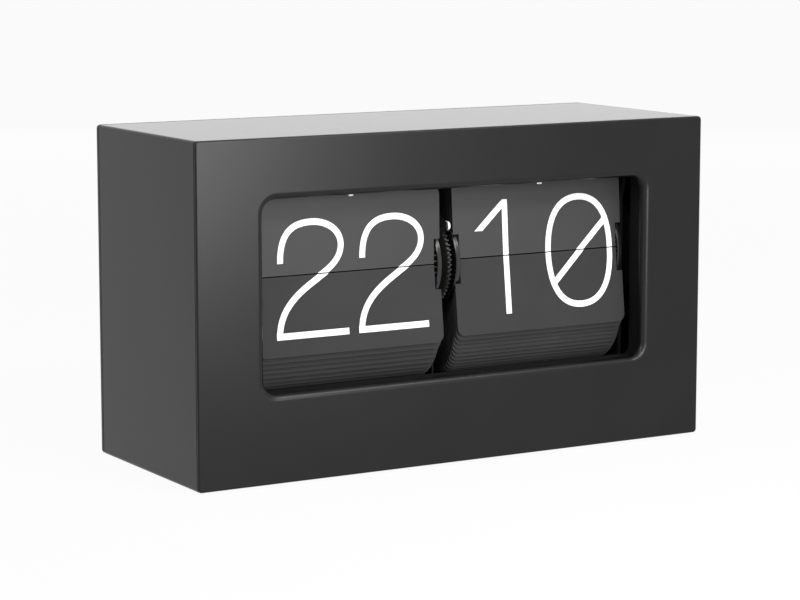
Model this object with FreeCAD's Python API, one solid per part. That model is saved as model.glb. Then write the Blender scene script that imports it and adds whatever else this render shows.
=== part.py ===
import FreeCAD, Part
import os
from math import acos, atan2, cos, degrees, hypot, pi, radians, sin

# Flip clock in a rectangular case. Millimetres, +Z up, front face towards -Y, origin under the
# middle of the case on the surface it stands on. Turning about +X moves a drum's front downwards.

# Case
case_width = 210.0
case_height = 120.0
case_depth = 80.0
pad_height = 1.0
pad_radius = 6.0
pad_inset = 14.0
shell_wall = 1.2
shell_corner_radius = 1.2
seam_gap = 0.4
bezel_edge = 1.0
cover_edge = 2.0
rim_corner_radius = 1.4
rim_edge_radius = 0.7
skirt_wall = 1.6
skirt_depth = 6.0
skirt_clearance = 0.2
pillar_radius = 3.2
pillar_inset = 7.5
pillar_bore_depth = 12.0
overcut = 1.0
pilot_extra = 0.8

# Window
window_side_border = 25.8
window_sill = 31.5
window_top_border = 21.3
window_plate = 3.2
window_corner_radius = 5.0
window_lip_radius = 2.4
tunnel_side_margin = 1.6
tunnel_top_margin = 3.0
tunnel_sill_margin = 0.6
tunnel_wall = 1.5
tunnel_depth = 8.0
tunnel_flange = 7.0
tunnel_flange_thickness = 1.5
tunnel_corner_radius = 3.0

# Screws
screw_radius = 1.2
screw_pilot_clearance = 0.05
screw_head_radius = 2.8
screw_head_height = 1.1
screw_length = 8.0
screw_clearance = 0.3
screw_slot_width = 0.7
screw_slot_depth = 0.5
small_screw_radius = 0.9
small_head_radius = 2.6
small_head_height = 1.0
screw_end_gap = 0.5
screw_sink = 0.1
head_clearance = 0.3
thread_clearance = 0.02
through_clearance = 0.1
boss_wall = 1.5
boss_clearance = 0.15

# Flap cards and drums
axis_setback = 27.5
axis_rise = 4.9
pin_circle_radius = 16.0
pin_radius = 0.25
pin_hole_radius = 0.65
disc_radius = 17.3
disc_thickness = 1.8
disc_bevel = 0.35
disc_window_radius = 3.2
disc_window_circle = 9.2
disc_window_count = 6
card_end_margin = 6.5
card_thickness = 0.15
card_gap = 0.4
hour_card_inner_edge = 2.3
minute_card_inner_edge = 3.7
card_side_margin = 2.2
card_notch_width = 2.4
card_notch_height = 8.1
card_corner_radius = 3.0
minute_flap_count = 60
minute_top_angle = 9.0
minute_card_lag = 4.8
hour_flap_count = 48
hour_top_angle = 5.5
hour_card_lag = 4.2
lower_card_lean = 6.7
second_card_lean = 3.4
third_card_lean = 0.8
stack_card_count = 5
stack_group_count = 3

# Axle and hubs
axle_radius = 1.5
running_clearance = 0.05
axle_end = 2.0
groove_near = 0.5
groove_far = 1.2
groove_depth = 0.4
axle_clip_radius = 3.2
pinion_sleeve_wall = 0.5
hub_end_gap = 0.2
hub_radius = 3.2
hub_collar_radius = 7.0
hub_collar_width = 1.0
hour_disc_inner_face = -1.9
minute_disc_inner_face = 4.15
disc_card_margin = 0.3

# Side plates, base and rail
plate_card_gap = 2.8
plate_thickness = 1.4
plate_top_gap = 10.0
plate_foot = 10.0
plate_front_inset = 11.0
plate_foot_border = 3.0
plate_rear_reach = 32.0
plate_waist_drop = 34.0
plate_rear_drop = 24.0
plate_rear_rise = 22.0
plate_top_rear = 8.0
plate_nose_step = 2.0
plate_nose_low = 20.0
plate_nose_high = 26.0
rail_screw_depth = 6.0
rail_screw_bite = 5.0
rail_setback = 14.0
base_thickness = 3.0
base_margin = 12.5
base_rear_inset = 13.0
base_front_inset = 10.0
base_tray_gap = 0.3
base_step = 4.0
rail_height = 4.0
rail_width = 6.0
rail_clearance = 2.0
foot_screw_gap = 0.3
hook_saddle_width = 7.2
hook_arm_thickness = 0.8
hour_hook_shift = -0.2
minute_hook_shift = -1.2
hook_width = 1.8
hook_thickness = 0.7
hook_bite = 0.7
hook_swing_clearance = 0.3
hook_slot_clearance = 0.6

# Centre bracket and the clips on its studs
clip_clearance = 0.05
clip_thickness = 0.35
clip_overhang = 0.15
bracket_thickness = 0.6
bracket_face = -0.05
bracket_foot = 8.0
bracket_front = 8.0
bracket_waist_rear = 20.0
bracket_waist_drop = 18.0
bracket_land = 5.0
bracket_narrow = 4.0
bracket_pawl_side = 6.0
bracket_hole_clearance = 0.1

# Hour train
lay_distance = 18.0
lay_angle = -45.0
small_teeth = 12
lay_teeth = 72
hour_teeth = 48
lay_arbor_radius = 0.8
lay_wheel_face = 0.15
lay_wheel_width = 0.65
lay_rim_gap = 0.05
lay_hole_circle = 8.6
wheel_hole_radius = 3.4
wheel_hole_count = 5
minute_pinion_width = 0.8
hour_gear_width = 0.75
hour_gear_gap = 0.2

# Tooth shape, as shares of the module and of the tooth step
tooth_addendum = 0.8
tooth_dedendum = 1.15
tooth_root_share = 0.31
tooth_tip_share = 0.12

# Click wheel and hand setting
click_teeth = 60
setting_module = 0.56
click_wheel_face = 1.1
click_wheel_width = 1.0
idler_slack_ratio = 1.066
setting_teeth = 24
stud_radius = 1.0
setting_stud_radius = 1.5
thumb_inset = 13.0
setting_rise = 24.0
thumb_radius = 12.5
thumb_width = 4.0
thumb_teeth = 44
thumb_gap = 0.4
thumb_neck_radius = 4.0
thumb_blank_teeth = 1.6
pocket_width = 24.0
pocket_height = 29.0
pocket_wall = 1.5
pocket_reveal = 4.2
pocket_slot_clearance = 0.8
pocket_radius = 3.0

# Click pawl
pawl_pivot_back = 8.0
pawl_pivot_rise = 25.5
pawl_thickness = 1.6
pawl_arm_width = 1.8
pawl_nose_radius = 1.6
pawl_boss_radius = 2.4
pawl_nose_angle = 46.0
pawl_clearance = 0.15
pawl_face = 1.3

# Drive
drive_teeth = 90
drive_pinion_teeth = 9
drive_module = 0.4
reduction_teeth = 60
motor_teeth = 10
reduction_module = 0.5
reduction_angle = 0.0
motor_angle = -70.0
drive_gear_gap = 1.4
drive_gear_width = 1.2
reduction_gap = 0.8
reduction_width = 1.0
reduction_hole_circle = 8.4
mesh_overlap = 0.1
motor_pinion_margin = 0.3
reduction_stud_radius = 0.7
motor_shaft_radius = 0.75
motor_radius = 11.0
motor_length = 9.0
gearbox_gap = 8.0
gearbox_cover_thickness = 1.5
gearbox_pillar_radius = 2.2
gearbox_pillar_gap = 0.02
gearbox_pillar_inset = 2.0
gearbox_front = 8.0
gearbox_rear = 30.0
gearbox_rear_rise = 18.0
gearbox_half_height = 30.0
gearbox_pillar_reach = 26.0
gearbox_nose = 4.0
motor_corner = 15.0
motor_boss_room = 2.0
motor_ear_circle = 13.6
motor_ear_angle = 45.0
motor_ear_thickness = 1.0
motor_ear_root_turn = 14.0
motor_ear_tip_turn = 10.0
motor_ear_reach = 3.0
motor_rim_radius = 1.0
motor_shaft_room = 1.5
motor_shaft_end = 1.0
plug_near = 2.5
plug_far = 6.5
plug_half_height = 3.0
motor_screw_length = 2.2
motor_head_inset = 0.3
motor_lead_pitch = 1.0
motor_lead_drop = 22.0
motor_lead_hump = 8.0
motor_lead_landing = 6.0
motor_lead_bend = 2.5

# Battery and board
cell_radius = 16.9
cell_length = 59.5
cell_nub_radius = 4.7
cell_nub_length = 1.5
cell_clearance = 0.3
cell_rim_radius = 0.8
shortest_rim = 10.0
contact_gap = 0.05
tray_wall = 1.2
tray_rear_margin = 1.6
tray_inner_end = -6.0
tray_wall_height = 26.0
spring_wire_radius = 0.45
spring_radius = 6.5
spring_turns = 3
spring_room = 5.2
contact_thickness = 0.4
contact_height = 22.0
contact_width = 14.0
contact_lift = 1.0
contact_bump_radius = 3.0
contact_room = 3.6
door_clearance = 0.3
door_thickness = 1.8
door_edge_border = 3.5
door_barrel_radius = 1.5
door_pin_radius = 0.7
door_pin_length = 3.0
door_tab_width = 14.0
door_tab_height = 2.2
door_rib_depth = 0.8
door_rib_width = 1.2
door_rib_inset = 4.0
door_rib_pitch = 8.0
door_rib_count = 3
door_tab_step = 0.5
door_pin_gap = 0.2
door_grip_depth = 0.6
door_grip_width = 1.2
door_grip_drop = 7.0
board_length = 52.0
board_depth = 22.0
board_thickness = 1.2
board_rise = 5.0
board_left = 16.0
board_inset = 34.0
board_post_radius = 1.8
board_post_margin = 0.5
board_hole_clearance = 0.2
board_screw_length = 4.0
chip_left = 20.0
chip_front = 8.0
chip_length = 12.0
chip_depth = 8.0
chip_height = 2.2
crystal_left = 36.0
crystal_front = 12.0
crystal_length = 8.0
crystal_radius = 1.5
capacitor_left = 13.0
capacitor_front = 14.0
capacitor_height = 7.5
capacitor_radius = 2.6
wire_radius = 0.5
wire_bend_radius = 1.6
wire_wall_gap = 0.05
lead_gap = 2.5
lead_clearance = 0.5
lead_hump = 4.5
lead_drop = 12.0
lead_bow = 6.0
lead_spacing = 4.0
terminal_left = 40.0
terminal_front = 3.0
terminal_length = 7.0
terminal_depth = 4.0
terminal_height = 5.0

# Worked out from the sizes above
half_width = case_width / 2
case_bottom = pad_height
case_top = case_bottom + case_height
front_y = -case_depth / 2
rear_y = case_depth / 2
shell_front = front_y + bezel_edge + seam_gap
shell_rear = rear_y - cover_edge - seam_gap
floor_z = case_bottom + shell_wall
skirt_inset = shell_wall + skirt_clearance
plate_rear_face = front_y + window_plate
window_width = case_width - 2 * window_side_border
window_height = case_height - window_sill - window_top_border
window_low = case_bottom + window_sill
window_high = window_low + window_height
axis_y = front_y + axis_setback
axis_z = window_low + window_height / 2 + axis_rise
card_outer_edge = window_width / 2 - card_side_margin
card_length = window_height / 2 - card_end_margin
plate_face = card_outer_edge + plate_card_gap
minute_pitch = 360.0 / minute_flap_count
hour_pitch = 360.0 / hour_flap_count
hour_card_middle = -(hour_card_inner_edge + card_outer_edge) / 2
minute_card_middle = (minute_card_inner_edge + card_outer_edge) / 2
fan_radius = hypot(pin_circle_radius + card_length * sin(radians(minute_card_lag)), card_length)
base_top = floor_z + base_thickness
hub_bore = axle_radius + running_clearance


def box(x_low, x_high, y_low, y_high, z_low, z_high):
    corner = FreeCAD.Vector(x_low, y_low, z_low)
    return Part.makeBox(x_high - x_low, y_high - y_low, z_high - z_low, corner)


def rod_x(x_low, x_high, y, z, radius):
    return Part.makeCylinder(radius, x_high - x_low, FreeCAD.Vector(x_low, y, z), FreeCAD.Vector(1, 0, 0))


def rod_y(x, y_low, y_high, z, radius):
    return Part.makeCylinder(radius, y_high - y_low, FreeCAD.Vector(x, y_low, z), FreeCAD.Vector(0, 1, 0))


def rod_z(x, y, z_low, z_high, radius):
    return Part.makeCylinder(radius, z_high - z_low, FreeCAD.Vector(x, y, z_low), FreeCAD.Vector(0, 0, 1))


def round_block(x_low, x_high, z_low, z_high, y_low, y_high, radius):
    # A block whose four edges along Y are rounded.
    block = box(x_low, x_high, y_low, y_high, z_low, z_high)
    edges = [e for e in block.Edges if abs(e.tangentAt(e.FirstParameter).y) > 0.9]
    return block.makeFillet(radius, edges)


def inset_block(inset, y_low, y_high, radius):
    return round_block(-half_width + inset, half_width - inset, case_bottom + inset,
                       case_top - inset, y_low, y_high, radius)


def plate_x(points, x_low, x_high):
    # A flat piece with its outline given as (y, z) points, thick along X.
    wire = Part.makePolygon([FreeCAD.Vector(x_low, y, z) for y, z in points + points[:1]])
    return Part.Face(wire).extrude(FreeCAD.Vector(x_high - x_low, 0, 0))


def fuse_all(shapes):
    return shapes[0].multiFuse(shapes[1:]).removeSplitter()


def on_circle(radius, angle):
    # A point around the drum axis; the angle is measured from the front, upwards positive.
    return (axis_y - radius * cos(radians(angle)), axis_z + radius * sin(radians(angle)))


def gear(teeth, module, x_low, x_high, centre, tooth_angle, bore):
    # Straight-flanked teeth with running backlash. Angles run from +Y towards +Z.
    pitch_radius = teeth * module / 2
    tip_radius = pitch_radius + tooth_addendum * module
    root_radius = pitch_radius - tooth_dedendum * module
    step = 360.0 / teeth
    root_half = tooth_root_share * step
    tip_half = tooth_tip_share * step
    points = []
    for index in range(teeth):
        middle = tooth_angle + index * step
        for radius, offset in ((root_radius, -root_half), (tip_radius, -tip_half),
                               (tip_radius, tip_half), (root_radius, root_half)):
            turn = radians(middle + offset)
            points.append((centre[0] + radius * cos(turn), centre[1] + radius * sin(turn)))
    wheel = plate_x(points, x_low, x_high)
    if bore > 0:
        wheel = wheel.cut(rod_x(x_low, x_high, centre[0], centre[1], bore))
    return wheel


def meshed_angle(teeth_a, angle_a, centre_a, teeth_b, centre_b):
    # Tooth angle that puts gear b in mesh with gear a.
    step_a = 360.0 / teeth_a
    step_b = 360.0 / teeth_b
    line = degrees(atan2(centre_b[1] - centre_a[1], centre_b[0] - centre_a[0]))
    share = ((line - angle_a) / step_a) % 1.0
    return line + 180.0 + (share + 0.5) * step_b


def centre_distance(teeth_a, teeth_b, module):
    return (teeth_a + teeth_b) * module / 2


def polar(centre, distance, angle):
    return (centre[0] + distance * cos(radians(angle)), centre[1] + distance * sin(radians(angle)))


def screw_y(x, z, y_seat, way, radius, head_radius, head_height, length):
    # A slotted screw along Y. The head lies on the side that way points to.
    y_head = y_seat + way * head_height
    y_end = y_seat - way * length
    head = rod_y(x, min(y_seat, y_head), max(y_seat, y_head), z, head_radius)
    shank = rod_y(x, min(y_seat, y_end), max(y_seat, y_end), z, radius)
    y_slot = y_head - way * screw_slot_depth
    slot = box(x - head_radius, x + head_radius, min(y_head, y_slot), max(y_head, y_slot),
               z - screw_slot_width / 2, z + screw_slot_width / 2)
    return head.fuse(shank).cut(slot).removeSplitter()


def screw_z(x, y, z_seat, radius, head_radius, head_height, length):
    head = rod_z(x, y, z_seat, z_seat + head_height, head_radius)
    shank = rod_z(x, y, z_seat - length, z_seat, radius)
    slot = box(x - head_radius, x + head_radius, y - screw_slot_width / 2, y + screw_slot_width / 2,
               z_seat + head_height - screw_slot_depth, z_seat + head_height)
    return head.fuse(shank).cut(slot).removeSplitter()


def screw_x(x_seat, way, y, z, radius, head_radius, head_height, length):
    x_head = x_seat + way * head_height
    x_end = x_seat - way * length
    head = rod_x(min(x_seat, x_head), max(x_seat, x_head), y, z, head_radius)
    shank = rod_x(min(x_seat, x_end), max(x_seat, x_end), y, z, radius)
    x_slot = x_head - way * screw_slot_depth
    slot = box(min(x_head, x_slot), max(x_head, x_slot), y - head_radius, y + head_radius,
               z - screw_slot_width / 2, z + screw_slot_width / 2)
    return head.fuse(shank).cut(slot).removeSplitter()


def export(name, solids):
    shape = solids[0] if len(solids) == 1 else Part.makeCompound(solids)
    shape.exportStep(os.path.join("parts", name + ".step"))
    print(name, len(shape.Solids), "solids,", round(shape.Volume, 1), "mm3, valid", shape.isValid())


# Places that several pieces share

pillar_places = [(side * (half_width - pillar_inset), z)
                 for side in (-1, 1)
                 for z in (case_bottom + pillar_inset, case_top - pillar_inset)]
pad_places = [(side_x * (half_width - pad_inset), side_y * (rear_y - pad_inset))
              for side_x in (-1, 1) for side_y in (-1, 1)]

tunnel_half_width = window_width / 2 + tunnel_side_margin
tunnel_low = window_low - tunnel_sill_margin
tunnel_high = window_high + tunnel_top_margin
tunnel_front = plate_rear_face
tunnel_rear = tunnel_front + tunnel_depth
flange_half_width = tunnel_half_width + tunnel_flange
flange_low = tunnel_low - tunnel_flange
flange_high = tunnel_high + tunnel_flange
boss_radius = small_screw_radius + boss_wall
boss_length = tunnel_flange_thickness
frame_screw_x = flange_half_width - tunnel_flange / 2 + tunnel_wall / 2
frame_screw_places = [(x, z)
                      for x in (-frame_screw_x, 0.0, frame_screw_x)
                      for z in (tunnel_low - tunnel_flange / 2 - tunnel_wall / 2,
                                tunnel_high + tunnel_flange / 2 + tunnel_wall / 2)]

main_centre = (axis_y, axis_z)
small_module = 2 * lay_distance / (small_teeth + lay_teeth)
hour_module = 2 * lay_distance / (small_teeth + hour_teeth)
lay_centre = polar(main_centre, lay_distance, lay_angle)
setting_centre = (rear_y - thumb_inset, axis_z + setting_rise)
setting_setback = rear_y - thumb_inset - axis_y
click_to_setting = hypot(setting_setback, setting_rise)
idler_teeth = round(click_to_setting * idler_slack_ratio / setting_module
                    - (click_teeth + setting_teeth) / 2)
click_to_idler = centre_distance(click_teeth, idler_teeth, setting_module)
idler_to_setting = centre_distance(idler_teeth, setting_teeth, setting_module)
idler_bend = degrees(acos((click_to_idler ** 2 + click_to_setting ** 2 - idler_to_setting ** 2)
                          / (2 * click_to_idler * click_to_setting)))
idler_centre = polar(main_centre, click_to_idler,
                     degrees(atan2(setting_rise, setting_setback)) - idler_bend)
pawl_pivot = (axis_y + pawl_pivot_back, axis_z + pawl_pivot_rise)

plate_outer = plate_face + plate_thickness
drive_gear_low = plate_outer + drive_gear_gap
drive_gear_high = drive_gear_low + drive_gear_width
reduction_low = drive_gear_high + reduction_gap
reduction_high = reduction_low + reduction_width
gearbox_face = plate_outer + gearbox_gap
gearbox_outer = gearbox_face + gearbox_cover_thickness
reduction_centre = polar(main_centre, centre_distance(drive_teeth, drive_pinion_teeth, drive_module),
                         reduction_angle)
motor_centre = polar(reduction_centre,
                     centre_distance(reduction_teeth, motor_teeth, reduction_module), motor_angle)
rail_low = axis_z + fan_radius + rail_clearance
rail_front = axis_y - rail_setback
# The finger stands just in front of the top card once the drum has turned by one card.
released_pin = on_circle(pin_circle_radius, minute_top_angle - minute_pitch)
released_lean = minute_top_angle - minute_card_lag - minute_pitch
hook_y = (released_pin[0] + card_length * sin(radians(released_lean)) - card_thickness / 2
          - hook_swing_clearance)
hook_tip = released_pin[1] + card_length - hook_bite
hour_hook_x = hour_card_middle + hour_hook_shift
minute_hook_x = minute_card_middle + minute_hook_shift

hour_disc_low = hour_disc_inner_face - disc_thickness
minute_disc_high = minute_disc_inner_face + disc_thickness
outer_disc_high = card_outer_edge - disc_card_margin
outer_disc_low = outer_disc_high - disc_thickness

cell_z = floor_z + tray_wall + cell_clearance + cell_radius
cell_y = rear_y - cover_edge - tray_rear_margin - cell_radius - cell_clearance
tray_high_x = tray_inner_end
cell_high_x = tray_high_x - tray_wall - contact_room - cell_nub_length
cell_low_x = cell_high_x - cell_length
tray_low_x = cell_low_x - spring_room - tray_wall
tray_front = cell_y - cell_radius - cell_clearance - tray_wall
lead_front = tray_front - lead_gap
foot_front = axis_y - plate_front_inset
foot_rear = lead_front - wire_radius - lead_clearance
board_front = rear_y - board_inset
opening_low_x = tray_low_x
opening_high_x = tray_high_x
opening_low_z = case_bottom + door_edge_border
opening_high_z = cell_z + cell_radius + cell_clearance
door_axis_y = rear_y - door_barrel_radius - door_clearance
door_axis_z = opening_low_z + door_clearance + door_barrel_radius
pocket_floor = setting_centre[0] + thumb_radius - pocket_reveal
thumb_low = click_wheel_face + click_wheel_width + thumb_gap
thumb_high = thumb_low + thumb_width
pocket_middle = (thumb_low + thumb_high) / 2


# Case

def make_case_shell():
    outer = inset_block(0.0, shell_front, shell_rear, shell_corner_radius)
    inner = inset_block(shell_wall, shell_front - overcut, shell_rear + overcut, shell_corner_radius / 2)
    shell = outer.cut(inner)
    for x, y in base_screw_places():
        cone = Part.makeCone(screw_head_radius, screw_radius, shell_wall,
                             FreeCAD.Vector(x, y, case_bottom), FreeCAD.Vector(0, 0, 1))
        shell = shell.cut(cone)
    return [shell]


def base_screw_places():
    x_out = plate_outer + plate_foot / 2
    return [(side * x_out, y) for side in (-1, 1)
            for y in (foot_front + plate_foot_border, foot_rear - plate_foot_border)]


def make_base_screws():
    # Countersunk from below, flush with the shell's underside.
    screws = []
    for x, y in base_screw_places():
        head = Part.makeCone(screw_head_radius - screw_pilot_clearance,
                             screw_radius - screw_pilot_clearance, shell_wall,
                             FreeCAD.Vector(x, y, case_bottom), FreeCAD.Vector(0, 0, 1))
        shank = rod_z(x, y, floor_z, base_top - screw_end_gap, screw_radius - screw_pilot_clearance)
        slot = box(x - screw_head_radius, x + screw_head_radius, y - screw_slot_width / 2,
                   y + screw_slot_width / 2, case_bottom, case_bottom + screw_slot_depth)
        screws.append(head.fuse(shank).cut(slot).removeSplitter())
    return screws


def skirt(y_low, y_high):
    outer = inset_block(skirt_inset, y_low, y_high, shell_corner_radius)
    inner = inset_block(skirt_inset + skirt_wall, y_low, y_high, shell_corner_radius)
    return outer.cut(inner)


def front_edges(shape, y_face):
    found = []
    for edge in shape.Edges:
        if all(abs(vertex.Point.y - y_face) < 0.001 for vertex in edge.Vertexes):
            found.append(edge)
    return found


def make_front_bezel():
    rim = inset_block(0.0, front_y, front_y + bezel_edge, rim_corner_radius)
    rim = rim.makeFillet(rim_edge_radius, front_edges(rim, front_y))
    backing = inset_block(skirt_inset, front_y + bezel_edge, plate_rear_face, shell_corner_radius)
    wall = skirt(front_y + bezel_edge, front_y + bezel_edge + skirt_depth)
    pieces = [rim, backing, wall]
    for x, z in pillar_places:
        pieces.append(rod_y(x, front_y + bezel_edge, rear_y - cover_edge, z, pillar_radius))
    for x, z in frame_screw_places:
        pieces.append(rod_y(x, front_y + bezel_edge, plate_rear_face + boss_length, z, boss_radius))
    bezel = fuse_all(pieces)
    window = round_block(-window_width / 2, window_width / 2, window_low, window_high,
                         front_y - overcut, plate_rear_face + overcut, window_corner_radius)
    bezel = bezel.cut(window)
    lip = [e for e in front_edges(bezel, front_y)
           if all(abs(v.Point.x) <= window_width / 2 + 0.01 for v in e.Vertexes)
           and all(window_low - 0.01 <= v.Point.z <= window_high + 0.01 for v in e.Vertexes)]
    bezel = bezel.makeFillet(window_lip_radius, lip)
    for x, z in pillar_places:
        bezel = bezel.cut(rod_y(x, rear_y - cover_edge - pillar_bore_depth, rear_y - cover_edge, z,
                                screw_radius + screw_pilot_clearance))
    for x, z in frame_screw_places:
        bezel = bezel.cut(rod_y(x, front_y + bezel_edge - pilot_extra, plate_rear_face + boss_length, z,
                                small_screw_radius + screw_pilot_clearance))
    return [bezel]


def make_window_frame():
    flange = round_block(-flange_half_width, flange_half_width, flange_low, flange_high,
                         tunnel_front, tunnel_front + tunnel_flange_thickness, tunnel_corner_radius)
    walls = round_block(-tunnel_half_width - tunnel_wall, tunnel_half_width + tunnel_wall,
                        tunnel_low - tunnel_wall, tunnel_high + tunnel_wall,
                        tunnel_front, tunnel_rear, tunnel_corner_radius)
    frame = fuse_all([flange, walls])
    frame = frame.cut(round_block(-tunnel_half_width, tunnel_half_width, tunnel_low, tunnel_high,
                                  tunnel_front - overcut, tunnel_rear + overcut, tunnel_corner_radius))
    for x, z in frame_screw_places:
        frame = frame.cut(rod_y(x, tunnel_front, tunnel_front + tunnel_flange_thickness, z,
                                boss_radius + boss_clearance))
    for x in (hour_hook_x, minute_hook_x):
        half = hook_width / 2 + hook_slot_clearance
        frame = frame.cut(box(x - half, x + half, hook_y - hook_thickness - hook_slot_clearance,
                              tunnel_rear, tunnel_high - tunnel_wall, tunnel_high + tunnel_wall))
    return [frame]


def make_window_frame_screws():
    seat = plate_rear_face + boss_length
    depth = boss_length + window_plate - bezel_edge
    return [screw_y(x, z, seat, 1, small_screw_radius, small_head_radius, small_head_height, depth)
            for x, z in frame_screw_places]


def make_rear_cover():
    rim = inset_block(0.0, rear_y - cover_edge, rear_y, rim_corner_radius)
    rim = rim.makeFillet(rim_edge_radius, front_edges(rim, rear_y))
    wall = skirt(rear_y - cover_edge - skirt_depth, rear_y - cover_edge)
    pocket = round_block(pocket_middle - pocket_width / 2, pocket_middle + pocket_width / 2,
                         setting_centre[1] - pocket_height / 2, setting_centre[1] + pocket_height / 2,
                         pocket_floor - pocket_wall, rear_y - cover_edge, pocket_radius)
    cover = fuse_all([rim, wall, pocket])
    for x, z in pillar_places:
        cover = cover.cut(rod_y(x, rear_y - cover_edge - overcut, rear_y - cover_edge, z,
                              pillar_radius + through_clearance))
        cover = cover.cut(rod_y(x, rear_y - cover_edge, rear_y, z, screw_radius + screw_clearance))
        cover = cover.cut(rod_y(x, rear_y - screw_head_height - screw_sink, rear_y, z,
                              screw_head_radius + head_clearance))
    inner = round_block(pocket_middle - pocket_width / 2 + pocket_wall,
                        pocket_middle + pocket_width / 2 - pocket_wall,
                        setting_centre[1] - pocket_height / 2 + pocket_wall,
                        setting_centre[1] + pocket_height / 2 - pocket_wall,
                        pocket_floor, rear_y + overcut, pocket_radius - pocket_wall)
    cover = cover.cut(inner)
    slot_half = thumb_radius
    cover = cover.cut(box(click_wheel_face - pocket_slot_clearance, thumb_high + pocket_slot_clearance,
                          pocket_floor - pocket_wall - overcut, pocket_floor + screw_sink,
                          setting_centre[1] - slot_half, setting_centre[1] + slot_half))
    cover = cover.cut(box(opening_low_x, opening_high_x, rear_y - cover_edge - overcut, rear_y + overcut,
                          opening_low_z, opening_high_z))
    tab_middle = (opening_low_x + opening_high_x) / 2
    cover = cover.cut(box(tab_middle - door_tab_width / 2 - door_clearance,
                          tab_middle + door_tab_width / 2 + door_clearance,
                          rear_y - cover_edge, rear_y + overcut,
                          opening_high_z, opening_high_z + door_tab_height))
    ears = []
    for x, way in ((opening_low_x, 1), (opening_high_x, -1)):
        x_end = x + way * door_pin_length
        ears.append(rod_x(min(x, x_end), max(x, x_end), door_axis_y, door_axis_z, door_pin_radius))
        x_back = x - way * skirt_wall
        ears.append(box(min(x, x_back), max(x, x_back), door_axis_y - door_barrel_radius,
                        rear_y - cover_edge, door_axis_z - door_barrel_radius,
                        door_axis_z + door_barrel_radius))
        ears.append(rod_x(min(x, x_back), max(x, x_back), door_axis_y, door_axis_z, door_pin_radius))
    cover = fuse_all([cover] + ears)
    return [cover]


def make_rear_cover_screws():
    seat = rear_y - screw_head_height - screw_sink
    return [screw_y(x, z, seat, 1, screw_radius, screw_head_radius, screw_head_height, screw_length)
            for x, z in pillar_places]


def make_rubber_pads():
    return [rod_z(x, y, 0.0, pad_height, pad_radius) for x, y in pad_places]


def make_battery_door():
    low_x = opening_low_x + door_clearance
    high_x = opening_high_x - door_clearance
    top = opening_high_z - door_clearance
    plate_high = door_axis_y + door_barrel_radius
    plate_low = plate_high - door_thickness
    panel = box(low_x, high_x, plate_low, plate_high, door_axis_z, top)
    barrel = rod_x(low_x, high_x, door_axis_y, door_axis_z, door_barrel_radius)
    middle = (low_x + high_x) / 2
    tab = box(middle - door_tab_width / 2, middle + door_tab_width / 2, plate_low + door_tab_step,
              plate_high, top, top + door_tab_height - door_clearance / 2)
    rib_heights = [door_axis_z + door_rib_pitch * (index + 1) for index in range(door_rib_count)]
    ribs = [box(low_x + door_rib_inset, high_x - door_rib_inset, plate_low - door_rib_depth, plate_low,
                z, z + door_rib_width) for z in rib_heights]
    door = fuse_all([panel, barrel, tab] + ribs)
    for x, way in ((low_x, 1), (high_x, -1)):
        x_end = x + way * (door_pin_length + door_pin_gap)
        door = door.cut(rod_x(min(x, x_end), max(x, x_end), door_axis_y, door_axis_z,
                              door_pin_radius + running_clearance))
    grip = box(middle - door_tab_width / 2, middle + door_tab_width / 2, plate_high - door_grip_depth,
               plate_high + overcut, top - door_grip_drop, top - door_grip_drop + door_grip_width)
    return [door.cut(grip)]


# Battery and electronics

def make_battery_cell():
    body = rod_x(cell_low_x, cell_high_x, cell_y, cell_z, cell_radius)
    rims = [e for e in body.Edges if e.Closed and len(e.Vertexes) == 1 and e.Length > shortest_rim
            and abs(e.tangentAt(e.FirstParameter).x) < 0.01]
    body = body.makeFillet(cell_rim_radius, rims)
    nub = rod_x(cell_high_x, cell_high_x + cell_nub_length, cell_y, cell_z, cell_nub_radius)
    return [body.fuse(nub)]


def make_battery_tray():
    front = tray_front
    rear = rear_y - cover_edge - skirt_depth - cell_clearance
    bottom = floor_z
    top = floor_z + tray_wall_height
    outer = box(tray_low_x, tray_high_x, front, rear, bottom, top)
    inner = box(tray_low_x + tray_wall, tray_high_x - tray_wall, front + tray_wall, rear + overcut,
                bottom + tray_wall, top + overcut)
    tray = outer.cut(inner)
    return [tray]


def make_battery_spring():
    start_x = tray_low_x + tray_wall + contact_thickness + spring_wire_radius
    end_x = cell_low_x - spring_wire_radius - contact_gap
    pitch = (end_x - start_x) / spring_turns
    helix = Part.makeHelix(pitch, end_x - start_x, spring_radius)
    profile = Part.Wire(Part.Circle(FreeCAD.Vector(spring_radius, 0, 0), FreeCAD.Vector(0, 1, 0),
                                    spring_wire_radius).toShape())
    coil = Part.Wire(helix).makePipeShell([profile], True, True)
    coil.rotate(FreeCAD.Vector(0, 0, 0), FreeCAD.Vector(0, 1, 0), 90)
    coil.translate(FreeCAD.Vector(start_x, cell_y, cell_z))
    foot = box(tray_low_x + tray_wall, tray_low_x + tray_wall + contact_thickness,
               cell_y - contact_width / 2, cell_y + contact_width / 2,
               floor_z + tray_wall + contact_lift, floor_z + tray_wall + contact_lift + contact_height)
    return [coil, foot]


def make_battery_plate():
    wall_x = tray_high_x - tray_wall
    foot = box(wall_x - contact_thickness, wall_x, cell_y - contact_width / 2, cell_y + contact_width / 2,
               floor_z + tray_wall + contact_lift, floor_z + tray_wall + contact_lift + contact_height)
    bump = rod_x(cell_high_x + cell_nub_length + contact_gap, wall_x, cell_y, cell_z, contact_bump_radius)
    return [fuse_all([foot, bump])]


def board_corners():
    inset = board_post_radius + board_post_margin
    return [(x, y) for x in (board_left + inset, board_left + board_length - inset)
            for y in (board_front + inset, board_front + board_depth - inset)]


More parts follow.
